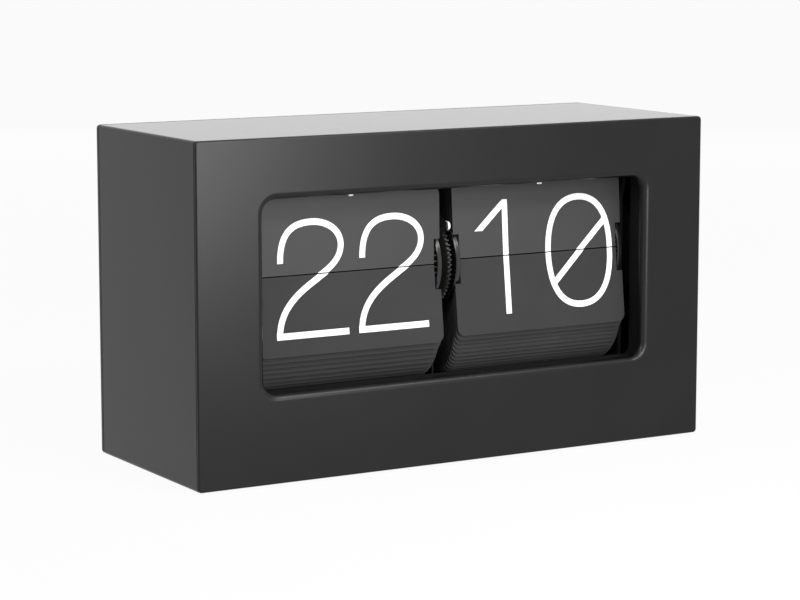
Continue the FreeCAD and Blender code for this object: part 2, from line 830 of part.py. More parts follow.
def make_circuit_board():
    low = base_top + board_rise
    high = low + board_thickness
    board = box(board_left, board_left + board_length, board_front, board_front + board_depth, low, high)
    for x, y in board_corners():
        board = board.cut(rod_z(x, y, low, high, small_screw_radius + board_hole_clearance))
    chip = box(board_left + chip_left, board_left + chip_left + chip_length, board_front + chip_front,
               board_front + chip_front + chip_depth, high, high + chip_height)
    crystal = rod_x(board_left + crystal_left, board_left + crystal_left + crystal_length,
                    board_front + crystal_front, high + crystal_radius, crystal_radius)
    capacitor = rod_z(board_left + capacitor_left, board_front + capacitor_front, high,
                      high + capacitor_height, capacitor_radius)
    terminal = box(board_left + terminal_left, board_left + terminal_left + terminal_length,
                   board_front + terminal_front, board_front + terminal_front + terminal_depth,
                   high, high + terminal_height)
    return [board, chip, crystal, capacitor, terminal]


def make_board_screws():
    seat = base_top + board_rise + board_thickness
    return [screw_z(x, y, seat, small_screw_radius, board_post_radius, small_head_height,
                    board_screw_length)
            for x, y in board_corners()]


def wire_path(points, bend_radius, radius):
    # Straight runs joined by tangent arcs, swept with a round section.
    vectors = [FreeCAD.Vector(*p) for p in points]
    edges = []
    start = vectors[0]
    for before, corner, after in zip(vectors, vectors[1:], vectors[2:]):
        back = (before - corner).normalize()
        ahead = (after - corner).normalize()
        half = acos(max(-1.0, min(1.0, back.dot(ahead)))) / 2
        reach = bend_radius / (sin(half) / cos(half))
        first = corner + back * reach
        last = corner + ahead * reach
        bisector = (back + ahead).normalize()
        middle = corner + bisector * (bend_radius / sin(half) - bend_radius)
        edges.append(Part.LineSegment(start, first).toShape())
        edges.append(Part.Arc(first, middle, last).toShape())
        start = last
    edges.append(Part.LineSegment(start, vectors[-1]).toShape())
    path = Part.Wire(edges)
    way = (vectors[1] - vectors[0]).normalize()
    profile = Part.Wire(Part.Circle(vectors[0], way, radius).toShape())
    return path.makePipeShell([profile], True, False)


def make_battery_leads():
    # From the tops of the two contacts to the terminal block on the board.
    z_terminal = base_top + board_rise + board_thickness + terminal_height
    z_contact = floor_z + tray_wall + contact_lift + contact_height
    z_run = z_contact - lead_drop
    x_plate = tray_high_x - tray_wall - wire_radius - wire_wall_gap
    x_spring = tray_low_x + tray_wall + wire_radius + wire_wall_gap
    x_first = board_left + terminal_left + terminal_length / 2 - lead_spacing / 2
    x_second = x_first + lead_spacing
    y_terminal = board_front + terminal_front + terminal_depth / 2
    from_plate = [(x_plate, cell_y, z_contact),
                  (x_plate, cell_y, z_contact + lead_hump),
                  (x_plate + lead_drop, cell_y - lead_bow, z_contact + contact_lift),
                  (x_second - 1.5 * lead_drop, cell_y - lead_bow, z_contact - contact_lift),
                  (x_second, y_terminal, z_terminal + lead_hump),
                  (x_second, y_terminal, z_terminal)]
    from_spring = [(x_spring, cell_y, z_contact),
                   (x_spring, cell_y, z_contact + lead_hump - contact_lift),
                   (x_spring + lead_gap, lead_front, z_contact + lead_gap),
                   (x_spring + 2 * lead_gap, lead_front, z_run),
                   (tray_high_x + contact_lift, lead_front, z_run),
                   (tray_high_x + lead_bow, lead_front + lead_bow + contact_lift, z_run),
                   (x_first - lead_bow, board_front - lead_gap, z_terminal + lead_gap),
                   (x_first, y_terminal, z_terminal + lead_hump),
                   (x_first, y_terminal, z_terminal)]
    return [wire_path(from_plate, wire_bend_radius, wire_radius),
            wire_path(from_spring, wire_bend_radius, wire_radius)]


# Frame that carries the drums

def make_base_frame():
    reach = plate_outer + base_margin
    front = axis_y - base_front_inset
    narrow = box(-reach, reach, front, tray_front - base_tray_gap, floor_z, base_top)
    wide = box(tray_high_x + base_step, reach, front, rear_y - base_rear_inset, floor_z, base_top)
    pieces = [narrow, wide]
    for x, y in board_corners():
        pieces.append(rod_z(x, y, floor_z, base_top + board_rise, board_post_radius))
    base = fuse_all(pieces)
    for x, y in board_corners():
        base = base.cut(rod_z(x, y, base_top, base_top + board_rise, small_screw_radius + thread_clearance))
    for x, y in base_screw_places():
        base = base.cut(rod_z(x, y, floor_z, base_top, screw_radius))
    for x, y in foot_screw_places():
        base = base.cut(rod_z(x, y, floor_z, base_top, small_screw_radius + thread_clearance))
    return [base]


def foot_screw_places():
    side_x = plate_outer + plate_foot / 2
    bracket_x = bracket_face - bracket_thickness - bracket_foot / 2
    middle = (foot_front + foot_rear) / 2
    return [(-side_x, middle), (side_x, middle), (bracket_x, axis_y - bracket_front / 2),
            (bracket_x, foot_rear - bracket_front / 2)]


def side_plate(side, hub_hole):
    y_rear = axis_y + plate_rear_reach
    z_top = case_top - plate_top_gap
    y_nose = foot_front - plate_nose_step
    outline = [(foot_front, base_top), (foot_rear, base_top), (foot_rear, axis_z - plate_waist_drop),
               (y_rear, axis_z - plate_rear_drop), (y_rear, axis_z + plate_rear_rise),
               (axis_y + plate_top_rear, z_top), (y_nose, z_top),
               (y_nose, axis_z + plate_nose_high), (foot_front, axis_z + plate_nose_low)]
    low = plate_face if side > 0 else -plate_outer
    plate = plate_x(outline, low, low + plate_thickness)
    foot_low = plate_outer if side > 0 else -plate_outer - plate_foot
    foot = box(foot_low, foot_low + plate_foot, foot_front, foot_rear, base_top, base_top + plate_thickness)
    plate = fuse_all([plate, foot])
    plate = plate.cut(rod_x(low, low + plate_thickness, axis_y, axis_z, hub_hole))
    for x, y in foot_screw_places():
        plate = plate.cut(rod_z(x, y, base_top, base_top + plate_thickness,
                                small_screw_radius + through_clearance))
    for y, z in rail_screw_places():
        plate = plate.cut(rod_x(low, low + plate_thickness, y, z,
                                small_screw_radius + through_clearance))
    if side > 0:
        for y, z in gearbox_pillar_places():
            plate = plate.cut(rod_x(low, low + plate_thickness, y, z, gearbox_pillar_radius / 2))
        plate = plate.cut(rod_x(low, low + plate_thickness, reduction_centre[0], reduction_centre[1],
                                reduction_stud_radius))
    return [plate]


def rail_screw_places():
    return [(rail_front + rail_width / 2, rail_low + rail_height / 2)]


def gearbox_pillar_places():
    return [(axis_y - gearbox_front / 4, axis_z + gearbox_pillar_reach),
            (axis_y + gearbox_rear - gearbox_pillar_inset, axis_z + gearbox_rear_rise),
            (axis_y - gearbox_front / 2, axis_z - gearbox_pillar_reach)]


def make_top_rail():
    rail = box(-plate_face, plate_face, rail_front, rail_front + rail_width, rail_low,
               rail_low + rail_height)
    for y, z in rail_screw_places():
        for x in (-plate_face, plate_face - rail_screw_depth):
            rail = rail.cut(rod_x(x, x + rail_screw_depth, y, z, small_screw_radius + thread_clearance))
    return [rail]


def make_frame_screws():
    # Side plates to the rail, side plates and bracket to the base.
    screws = []
    for y, z in rail_screw_places():
        screws.append(screw_x(plate_outer, 1, y, z, small_screw_radius, small_head_radius,
                              small_head_height, plate_thickness + rail_screw_bite))
        screws.append(screw_x(-plate_outer, -1, y, z, small_screw_radius, small_head_radius,
                              small_head_height, plate_thickness + rail_screw_bite))
    for x, y in foot_screw_places():
        seat = base_top + (plate_thickness if abs(x) > plate_face else bracket_thickness)
        screws.append(screw_z(x, y, seat, small_screw_radius, small_head_radius,
                              small_head_height, seat - floor_z - foot_screw_gap))
    return screws


def make_hook(x):
    # A white finger that hangs from the rail in front of the top card.
    finger = box(x - hook_width / 2, x + hook_width / 2, hook_y - hook_thickness, hook_y,
                 hook_tip, rail_low)
    arm_low = rail_low - hook_arm_thickness
    side = hook_saddle_width / 2
    saddle = box(x - side, x + side, rail_front, rail_front + rail_width, arm_low, rail_low)
    grip = box(x - side, x + side, rail_front - hook_arm_thickness, rail_front, arm_low,
               rail_low + rail_height)
    arm = box(x - hook_width / 2, x + hook_width / 2, min(hook_y - hook_thickness, rail_front),
              max(hook_y, rail_front + hook_arm_thickness), arm_low, rail_low)
    return [fuse_all([finger, saddle, grip, arm])]


def make_centre_bracket():
    low = bracket_face - bracket_thickness
    stud_y, stud_z = setting_centre
    pawl_y, pawl_z = pawl_pivot
    outline = [(axis_y - bracket_front, base_top), (foot_rear, base_top),
               (axis_y + bracket_waist_rear, axis_z - bracket_waist_drop),
               (idler_centre[0] + bracket_narrow, idler_centre[1] - bracket_land),
               (stud_y + bracket_narrow, stud_z - bracket_land),
               (stud_y + bracket_narrow, stud_z + bracket_land),
               (stud_y - bracket_pawl_side, stud_z + bracket_land),
               (pawl_y + bracket_pawl_side, pawl_z + bracket_narrow),
               (pawl_y - bracket_narrow, pawl_z + bracket_narrow),
               (axis_y - bracket_narrow, axis_z + bracket_pawl_side),
               (axis_y - bracket_front, axis_z - bracket_narrow)]
    bracket = plate_x(outline, low, bracket_face)
    foot = box(low - bracket_foot, low, axis_y - bracket_front, foot_rear, base_top,
               base_top + bracket_thickness)
    bracket = fuse_all([bracket, foot])
    holes = [(main_centre, axle_radius), (lay_centre, lay_arbor_radius + running_clearance),
             (idler_centre, stud_radius), (setting_centre, setting_stud_radius),
             (pawl_pivot, stud_radius)]
    for centre, radius in holes:
        bracket = bracket.cut(rod_x(low, bracket_face, centre[0], centre[1], radius))
    for x, y in foot_screw_places():
        bracket = bracket.cut(rod_z(x, y, base_top, base_top + bracket_thickness,
                                    small_screw_radius + through_clearance))
    return [bracket]


def make_main_axle():
    low = -plate_outer - groove_far
    high = -plate_outer - groove_near
    axle = rod_x(-plate_outer - axle_end, gearbox_outer, axis_y, axis_z, axle_radius)
    groove = rod_x(low, high, axis_y, axis_z, axle_radius + overcut)
    groove = groove.cut(rod_x(low, high, axis_y, axis_z, axle_radius - groove_depth))
    return [axle.cut(groove)]


def clip(x_low, x_high, centre, inner, outer):
    ring = rod_x(x_low, x_high, centre[0], centre[1], outer)
    ring = ring.cut(rod_x(x_low, x_high, centre[0], centre[1], inner))
    mouth = box(x_low, x_high, centre[0] - inner * 0.8, centre[0] + inner * 0.8,
                centre[1] - outer - 1, centre[1])
    return ring.cut(mouth)


def make_retaining_clips():
    axle_clip = clip(-plate_outer - groove_far + clip_clearance,
                     -plate_outer - groove_near - clip_clearance, main_centre,
                     axle_radius - groove_depth + clip_clearance, axle_clip_radius)
    wheel_end = click_wheel_face + click_wheel_width
    idler_clip = clip(wheel_end + clip_clearance, wheel_end + clip_clearance + clip_thickness,
                      idler_centre, stud_radius, 2 * stud_radius)
    setting_clip = clip(thumb_high + clip_clearance, thumb_high + clip_clearance + clip_thickness,
                        setting_centre, setting_stud_radius, 2 * setting_stud_radius)
    pawl_end = pawl_face + pawl_thickness
    pawl_clip = clip(pawl_end + clip_clearance, pawl_end + clip_clearance + clip_thickness,
                     pawl_pivot, stud_radius, 2 * stud_radius)
    return [axle_clip, idler_clip, setting_clip, pawl_clip]


def make_studs():
    low = bracket_face - bracket_thickness
    wheel_end = click_wheel_face + click_wheel_width
    over = clip_clearance + clip_thickness + clip_overhang
    studs = [rod_x(low, wheel_end + over, idler_centre[0], idler_centre[1], stud_radius),
             rod_x(low, thumb_high + over, setting_centre[0], setting_centre[1], setting_stud_radius),
             rod_x(low, pawl_face + pawl_thickness + over, pawl_pivot[0], pawl_pivot[1], stud_radius)]
    collars = [rod_x(bracket_face, click_wheel_face - clip_clearance, idler_centre[0],
                     idler_centre[1], 2 * stud_radius),
               rod_x(bracket_face, click_wheel_face - clip_clearance, setting_centre[0],
                     setting_centre[1], 2 * setting_stud_radius),
               rod_x(bracket_face, pawl_face - clip_clearance, pawl_pivot[0], pawl_pivot[1],
                     2 * stud_radius)]
    return [fuse_all([stud, collar]) for stud, collar in zip(studs, collars)]


# Flap cards

def card(x_low, x_high, pitch, disc_faces):
    # One card standing on its pin at the origin, thick along Y, with the ears that hold it.
    tail = (2 * pin_circle_radius * sin(radians(pitch / 2)) - card_gap) / 2
    half = card_thickness / 2
    notch_low = x_low + card_notch_width
    notch_high = x_high - card_notch_width
    points = [(notch_low, -tail), (notch_high, -tail), (notch_high, card_notch_height),
              (x_high, card_notch_height), (x_high, card_length), (x_low, card_length),
              (x_low, card_notch_height), (notch_low, card_notch_height)]
    wire = Part.makePolygon([FreeCAD.Vector(x, -half, z) for x, z in points + points[:1]])
    sheet = Part.Face(wire).extrude(FreeCAD.Vector(0, card_thickness, 0))
    corners = []
    for edge in sheet.Edges:
        ends = [v.Point for v in edge.Vertexes]
        if abs(edge.tangentAt(edge.FirstParameter).y) > 0.9 and abs(ends[0].z - card_length) < 0.01:
            if abs(ends[0].x - x_low) < 0.01 or abs(ends[0].x - x_high) < 0.01:
                corners.append(edge)
    sheet = sheet.makeFillet(card_corner_radius, corners)
    ears = [rod_x(disc_faces[0], notch_low, 0, 0, pin_radius),
            rod_x(notch_high, disc_faces[1], 0, 0, pin_radius)]
    return fuse_all([sheet] + ears)


def placed_card(base, angle, lean):
    # The lean is measured from upright towards the rear, so 180 hangs straight down.
    y, z = on_circle(pin_circle_radius, angle)
    flap = base.copy()
    flap.rotate(FreeCAD.Vector(0, 0, 0), FreeCAD.Vector(1, 0, 0), -lean)
    flap.translate(FreeCAD.Vector(0, y, z))
    return flap


def hanging_lean(steps_below):
    # The first cards at the front lie on the ones behind them and lean a little forwards.
    return 180.0 + {0: lower_card_lean, 1: second_card_lean, 2: third_card_lean}.get(steps_below, 0.0)


def flap_set(base, count, top_angle, lag):
    # Every card of a drum, from the shown top card over the drum to the shown lower card.
    pitch = 360.0 / count
    fan = []
    hanging = []
    angle = top_angle + pitch
    while angle < 180.0:
        fan.append(placed_card(base, angle, angle - lag))
        angle += pitch
    left = count - 2 - len(fan)
    for index in range(1, left + 1):
        steps_from_rear = left - index
        lean = hanging_lean(index)
        if steps_from_rear == 0:
            lean = 180.0 - second_card_lean
        if steps_from_rear == 1:
            lean = 180.0 - third_card_lean
        hanging.append(placed_card(base, top_angle - pitch * (index + 1), lean))
    top = placed_card(base, top_angle, top_angle - lag)
    lower = placed_card(base, top_angle - pitch, hanging_lean(0))
    return top, fan, lower, hanging


def drum_disc(x_low, count, top_angle):
    x_high = x_low + disc_thickness
    disc = rod_x(x_low, x_high, axis_y, axis_z, disc_radius)
    rims = [e for e in disc.Edges if abs(e.Length - 2 * pi * disc_radius) < 0.01]
    disc = disc.makeChamfer(disc_bevel, rims)
    cuts = [rod_x(x_low, x_high, axis_y, axis_z, hub_radius)]
    for index in range(count):
        y, z = on_circle(pin_circle_radius, top_angle + index * 360.0 / count)
        cuts.append(rod_x(x_low, x_high, y, z, pin_hole_radius))
    for index in range(disc_window_count):
        y, z = on_circle(disc_window_circle, index * 360.0 / disc_window_count)
        cuts.append(rod_x(x_low, x_high, y, z, disc_window_radius))
    return disc.cut(Part.makeCompound(cuts))


def make_hour_hub():
    # The sleeve runs on the axle; a collar stands at the inner side of each disc.
    low = -plate_face + hub_end_gap
    high = hour_disc_inner_face
    left_collar = -outer_disc_low
    right_collar = hour_disc_low - hub_collar_width
    pieces = [rod_x(low, high, axis_y, axis_z, hub_radius),
              rod_x(left_collar, left_collar + hub_collar_width, axis_y, axis_z, hub_collar_radius),
              rod_x(right_collar, right_collar + hub_collar_width, axis_y, axis_z, hub_collar_radius)]
    hub = fuse_all(pieces)
    return [hub.cut(rod_x(low, high, axis_y, axis_z, hub_bore))]


def make_minute_hub():
    low = minute_disc_inner_face
    high = drive_gear_high
    collar = outer_disc_low - hub_collar_width
    pieces = [rod_x(low, high, axis_y, axis_z, hub_radius),
              rod_x(minute_disc_high, minute_disc_high + hub_collar_width, axis_y, axis_z,
                    hub_collar_radius),
              rod_x(collar, collar + hub_collar_width, axis_y, axis_z, hub_collar_radius)]
    hub = fuse_all(pieces)
    return [hub.cut(rod_x(low, high, axis_y, axis_z, hub_bore))]


# Gears

def gear_angles():
    angles = {"minute_pinion": lay_angle}
    angles["lay_wheel"] = meshed_angle(small_teeth, lay_angle, main_centre, lay_teeth, lay_centre)
    angles["hour_gear"] = lay_angle
    angles["lay_pinion"] = meshed_angle(hour_teeth, lay_angle, main_centre, small_teeth, lay_centre)
    angles["click_wheel"] = 0.0
    angles["idler_gear"] = meshed_angle(click_teeth, 0.0, main_centre, idler_teeth, idler_centre)
    angles["setting_wheel"] = meshed_angle(idler_teeth, angles["idler_gear"], idler_centre,
                                           setting_teeth, setting_centre)
    angles["drive_gear"] = 0.0
    angles["reduction_pinion"] = meshed_angle(drive_teeth, 0.0, main_centre, drive_pinion_teeth,
                                              reduction_centre)
    angles["reduction_wheel"] = 0.0
    angles["motor_pinion"] = meshed_angle(reduction_teeth, 0.0, reduction_centre, motor_teeth,
                                          motor_centre)
    return angles


def make_minute_pinion(angles):
    low = lay_wheel_face - lay_rim_gap
    toothed = gear(small_teeth, small_module, low, low + minute_pinion_width, main_centre,
                   angles["minute_pinion"], hub_bore)
    sleeve = rod_x(low + minute_pinion_width, minute_disc_inner_face, axis_y, axis_z,
                   hub_bore + pinion_sleeve_wall)
    sleeve = sleeve.cut(rod_x(low, minute_disc_inner_face, axis_y, axis_z, hub_bore))
    return [fuse_all([toothed, sleeve])]


def make_click_wheel(angles):
    high = click_wheel_face + click_wheel_width
    wheel = gear(click_teeth, setting_module, click_wheel_face, high, main_centre,
                 angles["click_wheel"], 0)
    boss = rod_x(high, minute_disc_inner_face, axis_y, axis_z, hub_collar_radius)
    wheel = fuse_all([wheel, boss])
    return [wheel.cut(rod_x(click_wheel_face, minute_disc_inner_face, axis_y, axis_z,
                            hub_bore + pinion_sleeve_wall))]


def make_hour_gear(angles):
    high = hour_disc_inner_face + hour_gear_gap + hour_gear_width
    wheel = gear(hour_teeth, hour_module, high - hour_gear_width, high, main_centre,
                 angles["hour_gear"], 0)
    boss = rod_x(hour_disc_inner_face, high - hour_gear_width, axis_y, axis_z, hub_collar_radius)
    wheel = fuse_all([wheel, boss])
    return [wheel.cut(rod_x(hour_disc_inner_face, high, axis_y, axis_z, hub_bore))]


def make_lay_wheel(angles):
    wheel = gear(lay_teeth, small_module, lay_wheel_face, lay_wheel_face + lay_wheel_width,
                 lay_centre, angles["lay_wheel"], lay_arbor_radius)
    for index in range(wheel_hole_count):
        y, z = polar(lay_centre, lay_hole_circle, 360.0 / wheel_hole_count * index)
        wheel = wheel.cut(rod_x(lay_wheel_face, lay_wheel_face + lay_wheel_width, y, z, wheel_hole_radius))
    return [wheel]


def make_lay_pinion(angles):
    low = hour_disc_inner_face + hour_gear_gap + lay_rim_gap
    pinion = gear(small_teeth, hour_module, low, low + hour_gear_width, lay_centre,
                  angles["lay_pinion"], 0)
    arbor = rod_x(low, lay_wheel_face + lay_wheel_width, lay_centre[0], lay_centre[1], lay_arbor_radius)
    return [fuse_all([pinion, arbor])]


def make_idler_gear(angles):
    high = click_wheel_face + click_wheel_width
    return [gear(idler_teeth, setting_module, click_wheel_face, high, idler_centre,
                 angles["idler_gear"], stud_radius + running_clearance)]


def make_setting_wheel(angles):
    high = click_wheel_face + click_wheel_width
    toothed = gear(setting_teeth, setting_module, click_wheel_face, high, setting_centre,
                   angles["setting_wheel"], 0)
    neck = rod_x(high, thumb_low, setting_centre[0], setting_centre[1], thumb_neck_radius)
    thumb_module = 2 * thumb_radius / (thumb_teeth + thumb_blank_teeth)
    thumb = gear(thumb_teeth, thumb_module, thumb_low, thumb_high, setting_centre, 0.0, 0)
    wheel = fuse_all([toothed, neck, thumb])
    return [wheel.cut(rod_x(click_wheel_face, thumb_high, setting_centre[0], setting_centre[1],
                            setting_stud_radius + running_clearance))]


def make_click_pawl():
    low = pawl_face
    high = pawl_face + pawl_thickness
    tip_radius = click_teeth * setting_module / 2 + tooth_addendum * setting_module
    nose = on_circle(tip_radius + pawl_clearance + pawl_nose_radius, pawl_nose_angle)
    boss = rod_x(low, high, pawl_pivot[0], pawl_pivot[1], pawl_boss_radius)
    tip = rod_x(low, high, nose[0], nose[1], pawl_nose_radius)
    across = atan2(pawl_pivot[1] - nose[1], pawl_pivot[0] - nose[0]) + pi / 2
    side_y = pawl_arm_width / 2 * cos(across)
    side_z = pawl_arm_width / 2 * sin(across)
    arm = plate_x([(pawl_pivot[0] + side_y, pawl_pivot[1] + side_z), (nose[0] + side_y, nose[1] + side_z),
                   (nose[0] - side_y, nose[1] - side_z),
                   (pawl_pivot[0] - side_y, pawl_pivot[1] - side_z)], low, high)
    pawl = fuse_all([boss, tip, arm])
    return [pawl.cut(rod_x(low, high, pawl_pivot[0], pawl_pivot[1], stud_radius + running_clearance))]


# Drive

def make_drive_gear(angles):
    return [gear(drive_teeth, drive_module, drive_gear_low, drive_gear_high, main_centre,
                 angles["drive_gear"], hub_radius)]


def make_reduction_wheel(angles):
    pinion = gear(drive_pinion_teeth, drive_module, drive_gear_low - mesh_overlap, reduction_low,
                  reduction_centre, angles["reduction_pinion"], 0)
    wheel = gear(reduction_teeth, reduction_module, reduction_low, reduction_high, reduction_centre,
                 angles["reduction_wheel"], 0)
    wheel = fuse_all([pinion, wheel])
    for index in range(wheel_hole_count):
        y, z = polar(reduction_centre, reduction_hole_circle, 360.0 / wheel_hole_count * index)
        wheel = wheel.cut(rod_x(reduction_low, reduction_high, y, z, wheel_hole_radius))
    return [wheel.cut(rod_x(drive_gear_low - mesh_overlap, reduction_high, reduction_centre[0],
                            reduction_centre[1], reduction_stud_radius + running_clearance))]


def make_reduction_stud():
    return [rod_x(plate_face, gearbox_outer, reduction_centre[0], reduction_centre[1],
                  reduction_stud_radius)]


def make_motor_pinion(angles):
    toothed = gear(motor_teeth, reduction_module, reduction_low - motor_pinion_margin,
                   reduction_high + motor_pinion_margin, motor_centre, angles["motor_pinion"], 0)
    shaft = rod_x(reduction_low - motor_pinion_margin, gearbox_outer + motor_shaft_end,
                  motor_centre[0], motor_centre[1], motor_shaft_radius)
    return [fuse_all([toothed, shaft])]


def make_gearbox_cover():
    front = axis_y - gearbox_front
    nose = axis_y + gearbox_nose
    low = axis_z - gearbox_half_height
    high = axis_z + gearbox_half_height
    outline = [(front, low), (nose, low), (motor_centre[0] + gearbox_nose, motor_centre[1] - motor_corner),
               (motor_centre[0] + motor_corner, motor_centre[1] - gearbox_nose),
               (axis_y + gearbox_rear, axis_z + gearbox_rear_rise), (nose, high), (front, high)]
    cover = plate_x(outline, gearbox_face, gearbox_outer)
    pieces = [cover]
    for y, z in gearbox_pillar_places():
        pieces.append(rod_x(plate_outer, gearbox_face, y, z, gearbox_pillar_radius))
        pieces.append(rod_x(plate_face + hub_end_gap, plate_outer, y, z,
                            gearbox_pillar_radius / 2 - gearbox_pillar_gap))
    cover = fuse_all(pieces)
    cover = cover.cut(rod_x(gearbox_face, gearbox_outer, axis_y, axis_z, axle_radius))
    cover = cover.cut(rod_x(gearbox_face, gearbox_outer, reduction_centre[0], reduction_centre[1],
                            reduction_stud_radius))
    cover = cover.cut(rod_x(gearbox_face, gearbox_outer, motor_centre[0], motor_centre[1],
                            motor_shaft_radius + motor_boss_room))
    for y, z in motor_screw_places():
        cover = cover.cut(rod_x(gearbox_face, gearbox_outer, y, z, small_screw_radius + thread_clearance))
    return [cover]


def motor_screw_places():
    return [polar(motor_centre, motor_ear_circle, angle) for angle in motor_ear_angles()]


def motor_ear_angles():
    return (motor_ear_angle, motor_ear_angle + 180.0)


def make_drive_motor():
    low = gearbox_outer
    ear_high = low + motor_ear_thickness
    body = rod_x(low, low + motor_length, motor_centre[0], motor_centre[1], motor_radius)
    rims = [e for e in body.Edges if abs(e.Length - 2 * pi * motor_radius) < 0.01
            and abs(e.Vertexes[0].Point.x - low - motor_length) < 0.01]
    body = body.makeFillet(motor_rim_radius, rims)
    ears = []
    for y, z in motor_screw_places():
        ears.append(rod_x(low, ear_high, y, z, small_head_radius))
    root = motor_radius - motor_rim_radius
    reach = motor_radius + motor_ear_reach
    for angle in motor_ear_angles():
        first = polar(motor_centre, root, angle - motor_ear_root_turn)
        second = polar(motor_centre, reach, angle - motor_ear_tip_turn)
        third = polar(motor_centre, reach, angle + motor_ear_tip_turn)
        fourth = polar(motor_centre, root, angle + motor_ear_root_turn)
        ears.append(plate_x([first, second, third, fourth], low, ear_high))
    plug = box(low + plug_near, low + plug_far, motor_centre[0] + root, motor_centre[0] + reach,
               motor_centre[1] - plug_half_height, motor_centre[1] + plug_half_height)
    motor = fuse_all([body, plug] + ears)
    motor = motor.cut(rod_x(low, low + motor_shaft_room, motor_centre[0], motor_centre[1],
                            motor_shaft_radius + running_clearance))
    for y, z in motor_screw_places():
        motor = motor.cut(rod_x(low, ear_high, y, z, small_screw_radius + through_clearance))
    return [motor]


def make_motor_screws():
    return [screw_x(gearbox_outer + motor_ear_thickness, 1, y, z, small_screw_radius,
                    small_head_radius - motor_head_inset, small_head_height, motor_screw_length)
            for y, z in motor_screw_places()]


def make_motor_leads():
    # From the motor's plug down to the board.
    leads = []
    z_board = base_top + board_rise + board_thickness
    x_middle = gearbox_outer + (plug_near + plug_far) / 2
    y_plug = motor_centre[0] + motor_radius + motor_ear_reach - motor_lead_pitch
    z_plug = motor_centre[1] - plug_half_height
    x_end = board_left + board_length - motor_lead_landing
    for side in (-1, 1):
        x_top = x_middle + side * motor_lead_pitch
        y_top = y_plug + side * motor_lead_pitch / 2
        y_end = board_front + board_depth - motor_lead_landing + side * motor_lead_pitch
        leads.append(wire_path([(x_top, y_top, z_plug), (x_top, y_top, z_plug - motor_lead_drop),
                                (x_end + lead_drop, y_end, z_board + motor_lead_hump),
                                (x_end, y_end, z_board + motor_lead_hump),
                                (x_end, y_end, z_board)], motor_lead_bend, wire_radius))
    return leads


def main():
    os.makedirs("parts", exist_ok=True)
    angles = gear_angles()

    export("case_shell", make_case_shell())
    export("base_screws", make_base_screws())
    export("front_bezel", make_front_bezel())
    export("window_frame", make_window_frame())
    export("window_frame_screws", make_window_frame_screws())
    export("rear_cover", make_rear_cover())
    export("rear_cover_screws", make_rear_cover_screws())
    export("rubber_pads", make_rubber_pads())
    export("battery_door", make_battery_door())

    export("battery_cell", make_battery_cell())
    export("battery_tray", make_battery_tray())
    export("battery_spring", make_battery_spring())
    export("battery_plate", make_battery_plate())
    export("battery_leads", make_battery_leads())
    export("circuit_board", make_circuit_board())
    export("board_screws", make_board_screws())

    export("base_frame", make_base_frame())
    export("left_side_plate", side_plate(-1, axle_radius))
    export("right_side_plate", side_plate(1, hub_radius + bracket_hole_clearance))
    export("top_rail", make_top_rail())
    export("frame_screws", make_frame_screws())
    export("hour_hook", make_hook(hour_hook_x))
    export("minute_hook", make_hook(minute_hook_x))
    export("centre_bracket", make_centre_bracket())
    export("main_axle", make_main_axle())
    export("retaining_clips", make_retaining_clips())
    export("bracket_studs", make_studs())

    hour_card = card(-card_outer_edge, -hour_card_inner_edge, hour_pitch,
                     (-outer_disc_high, hour_disc_inner_face))
    top, fan, lower, hanging = flap_set(hour_card, hour_flap_count, hour_top_angle, hour_card_lag)
    export("hour_top_flap", [top])
    export("hour_fan_flaps", fan)
    export("hour_lower_flap", [lower])
    export("hour_stack_flaps", hanging)

    minute_card = card(minute_card_inner_edge, card_outer_edge, minute_pitch,
                       (minute_disc_inner_face, outer_disc_high))
    top, fan, lower, hanging = flap_set(minute_card, minute_flap_count, minute_top_angle,
                                        minute_card_lag)
    export("minute_top_flap", [top])
    export("minute_fan_flaps", fan)
    export("minute_lower_flap", [lower])
    for group in range(stack_group_count):
        first = group * stack_card_count
        export("minute_stack_flaps_%d" % (group + 1), hanging[first:first + stack_card_count])
    export("minute_rear_flaps", hanging[stack_group_count * stack_card_count:])

    export("hour_hub", make_hour_hub())
    export("hour_disc_left", [drum_disc(-outer_disc_high, hour_flap_count, hour_top_angle)])
    export("hour_disc_right", [drum_disc(hour_disc_low, hour_flap_count, hour_top_angle)])
    export("minute_hub", make_minute_hub())
    export("minute_disc_left", [drum_disc(minute_disc_inner_face, minute_flap_count, minute_top_angle)])
    export("minute_disc_right", [drum_disc(outer_disc_low, minute_flap_count, minute_top_angle)])

    export("minute_pinion", make_minute_pinion(angles))
    export("minute_click_wheel", make_click_wheel(angles))
    export("hour_gear", make_hour_gear(angles))
    export("lay_wheel", make_lay_wheel(angles))
    export("lay_pinion", make_lay_pinion(angles))
    export("idler_gear", make_idler_gear(angles))
    export("setting_wheel", make_setting_wheel(angles))
    export("click_pawl", make_click_pawl())

    export("drive_gear", make_drive_gear(angles))
    export("reduction_wheel", make_reduction_wheel(angles))
    export("reduction_stud", make_reduction_stud())
    export("motor_pinion", make_motor_pinion(angles))
    export("gearbox_cover", make_gearbox_cover())
    export("drive_motor", make_drive_motor())
    export("motor_screws", make_motor_screws())
    export("motor_leads", make_motor_leads())


main()
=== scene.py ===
from math import cos, radians, sin

import bpy
from mathutils import Matrix, Vector


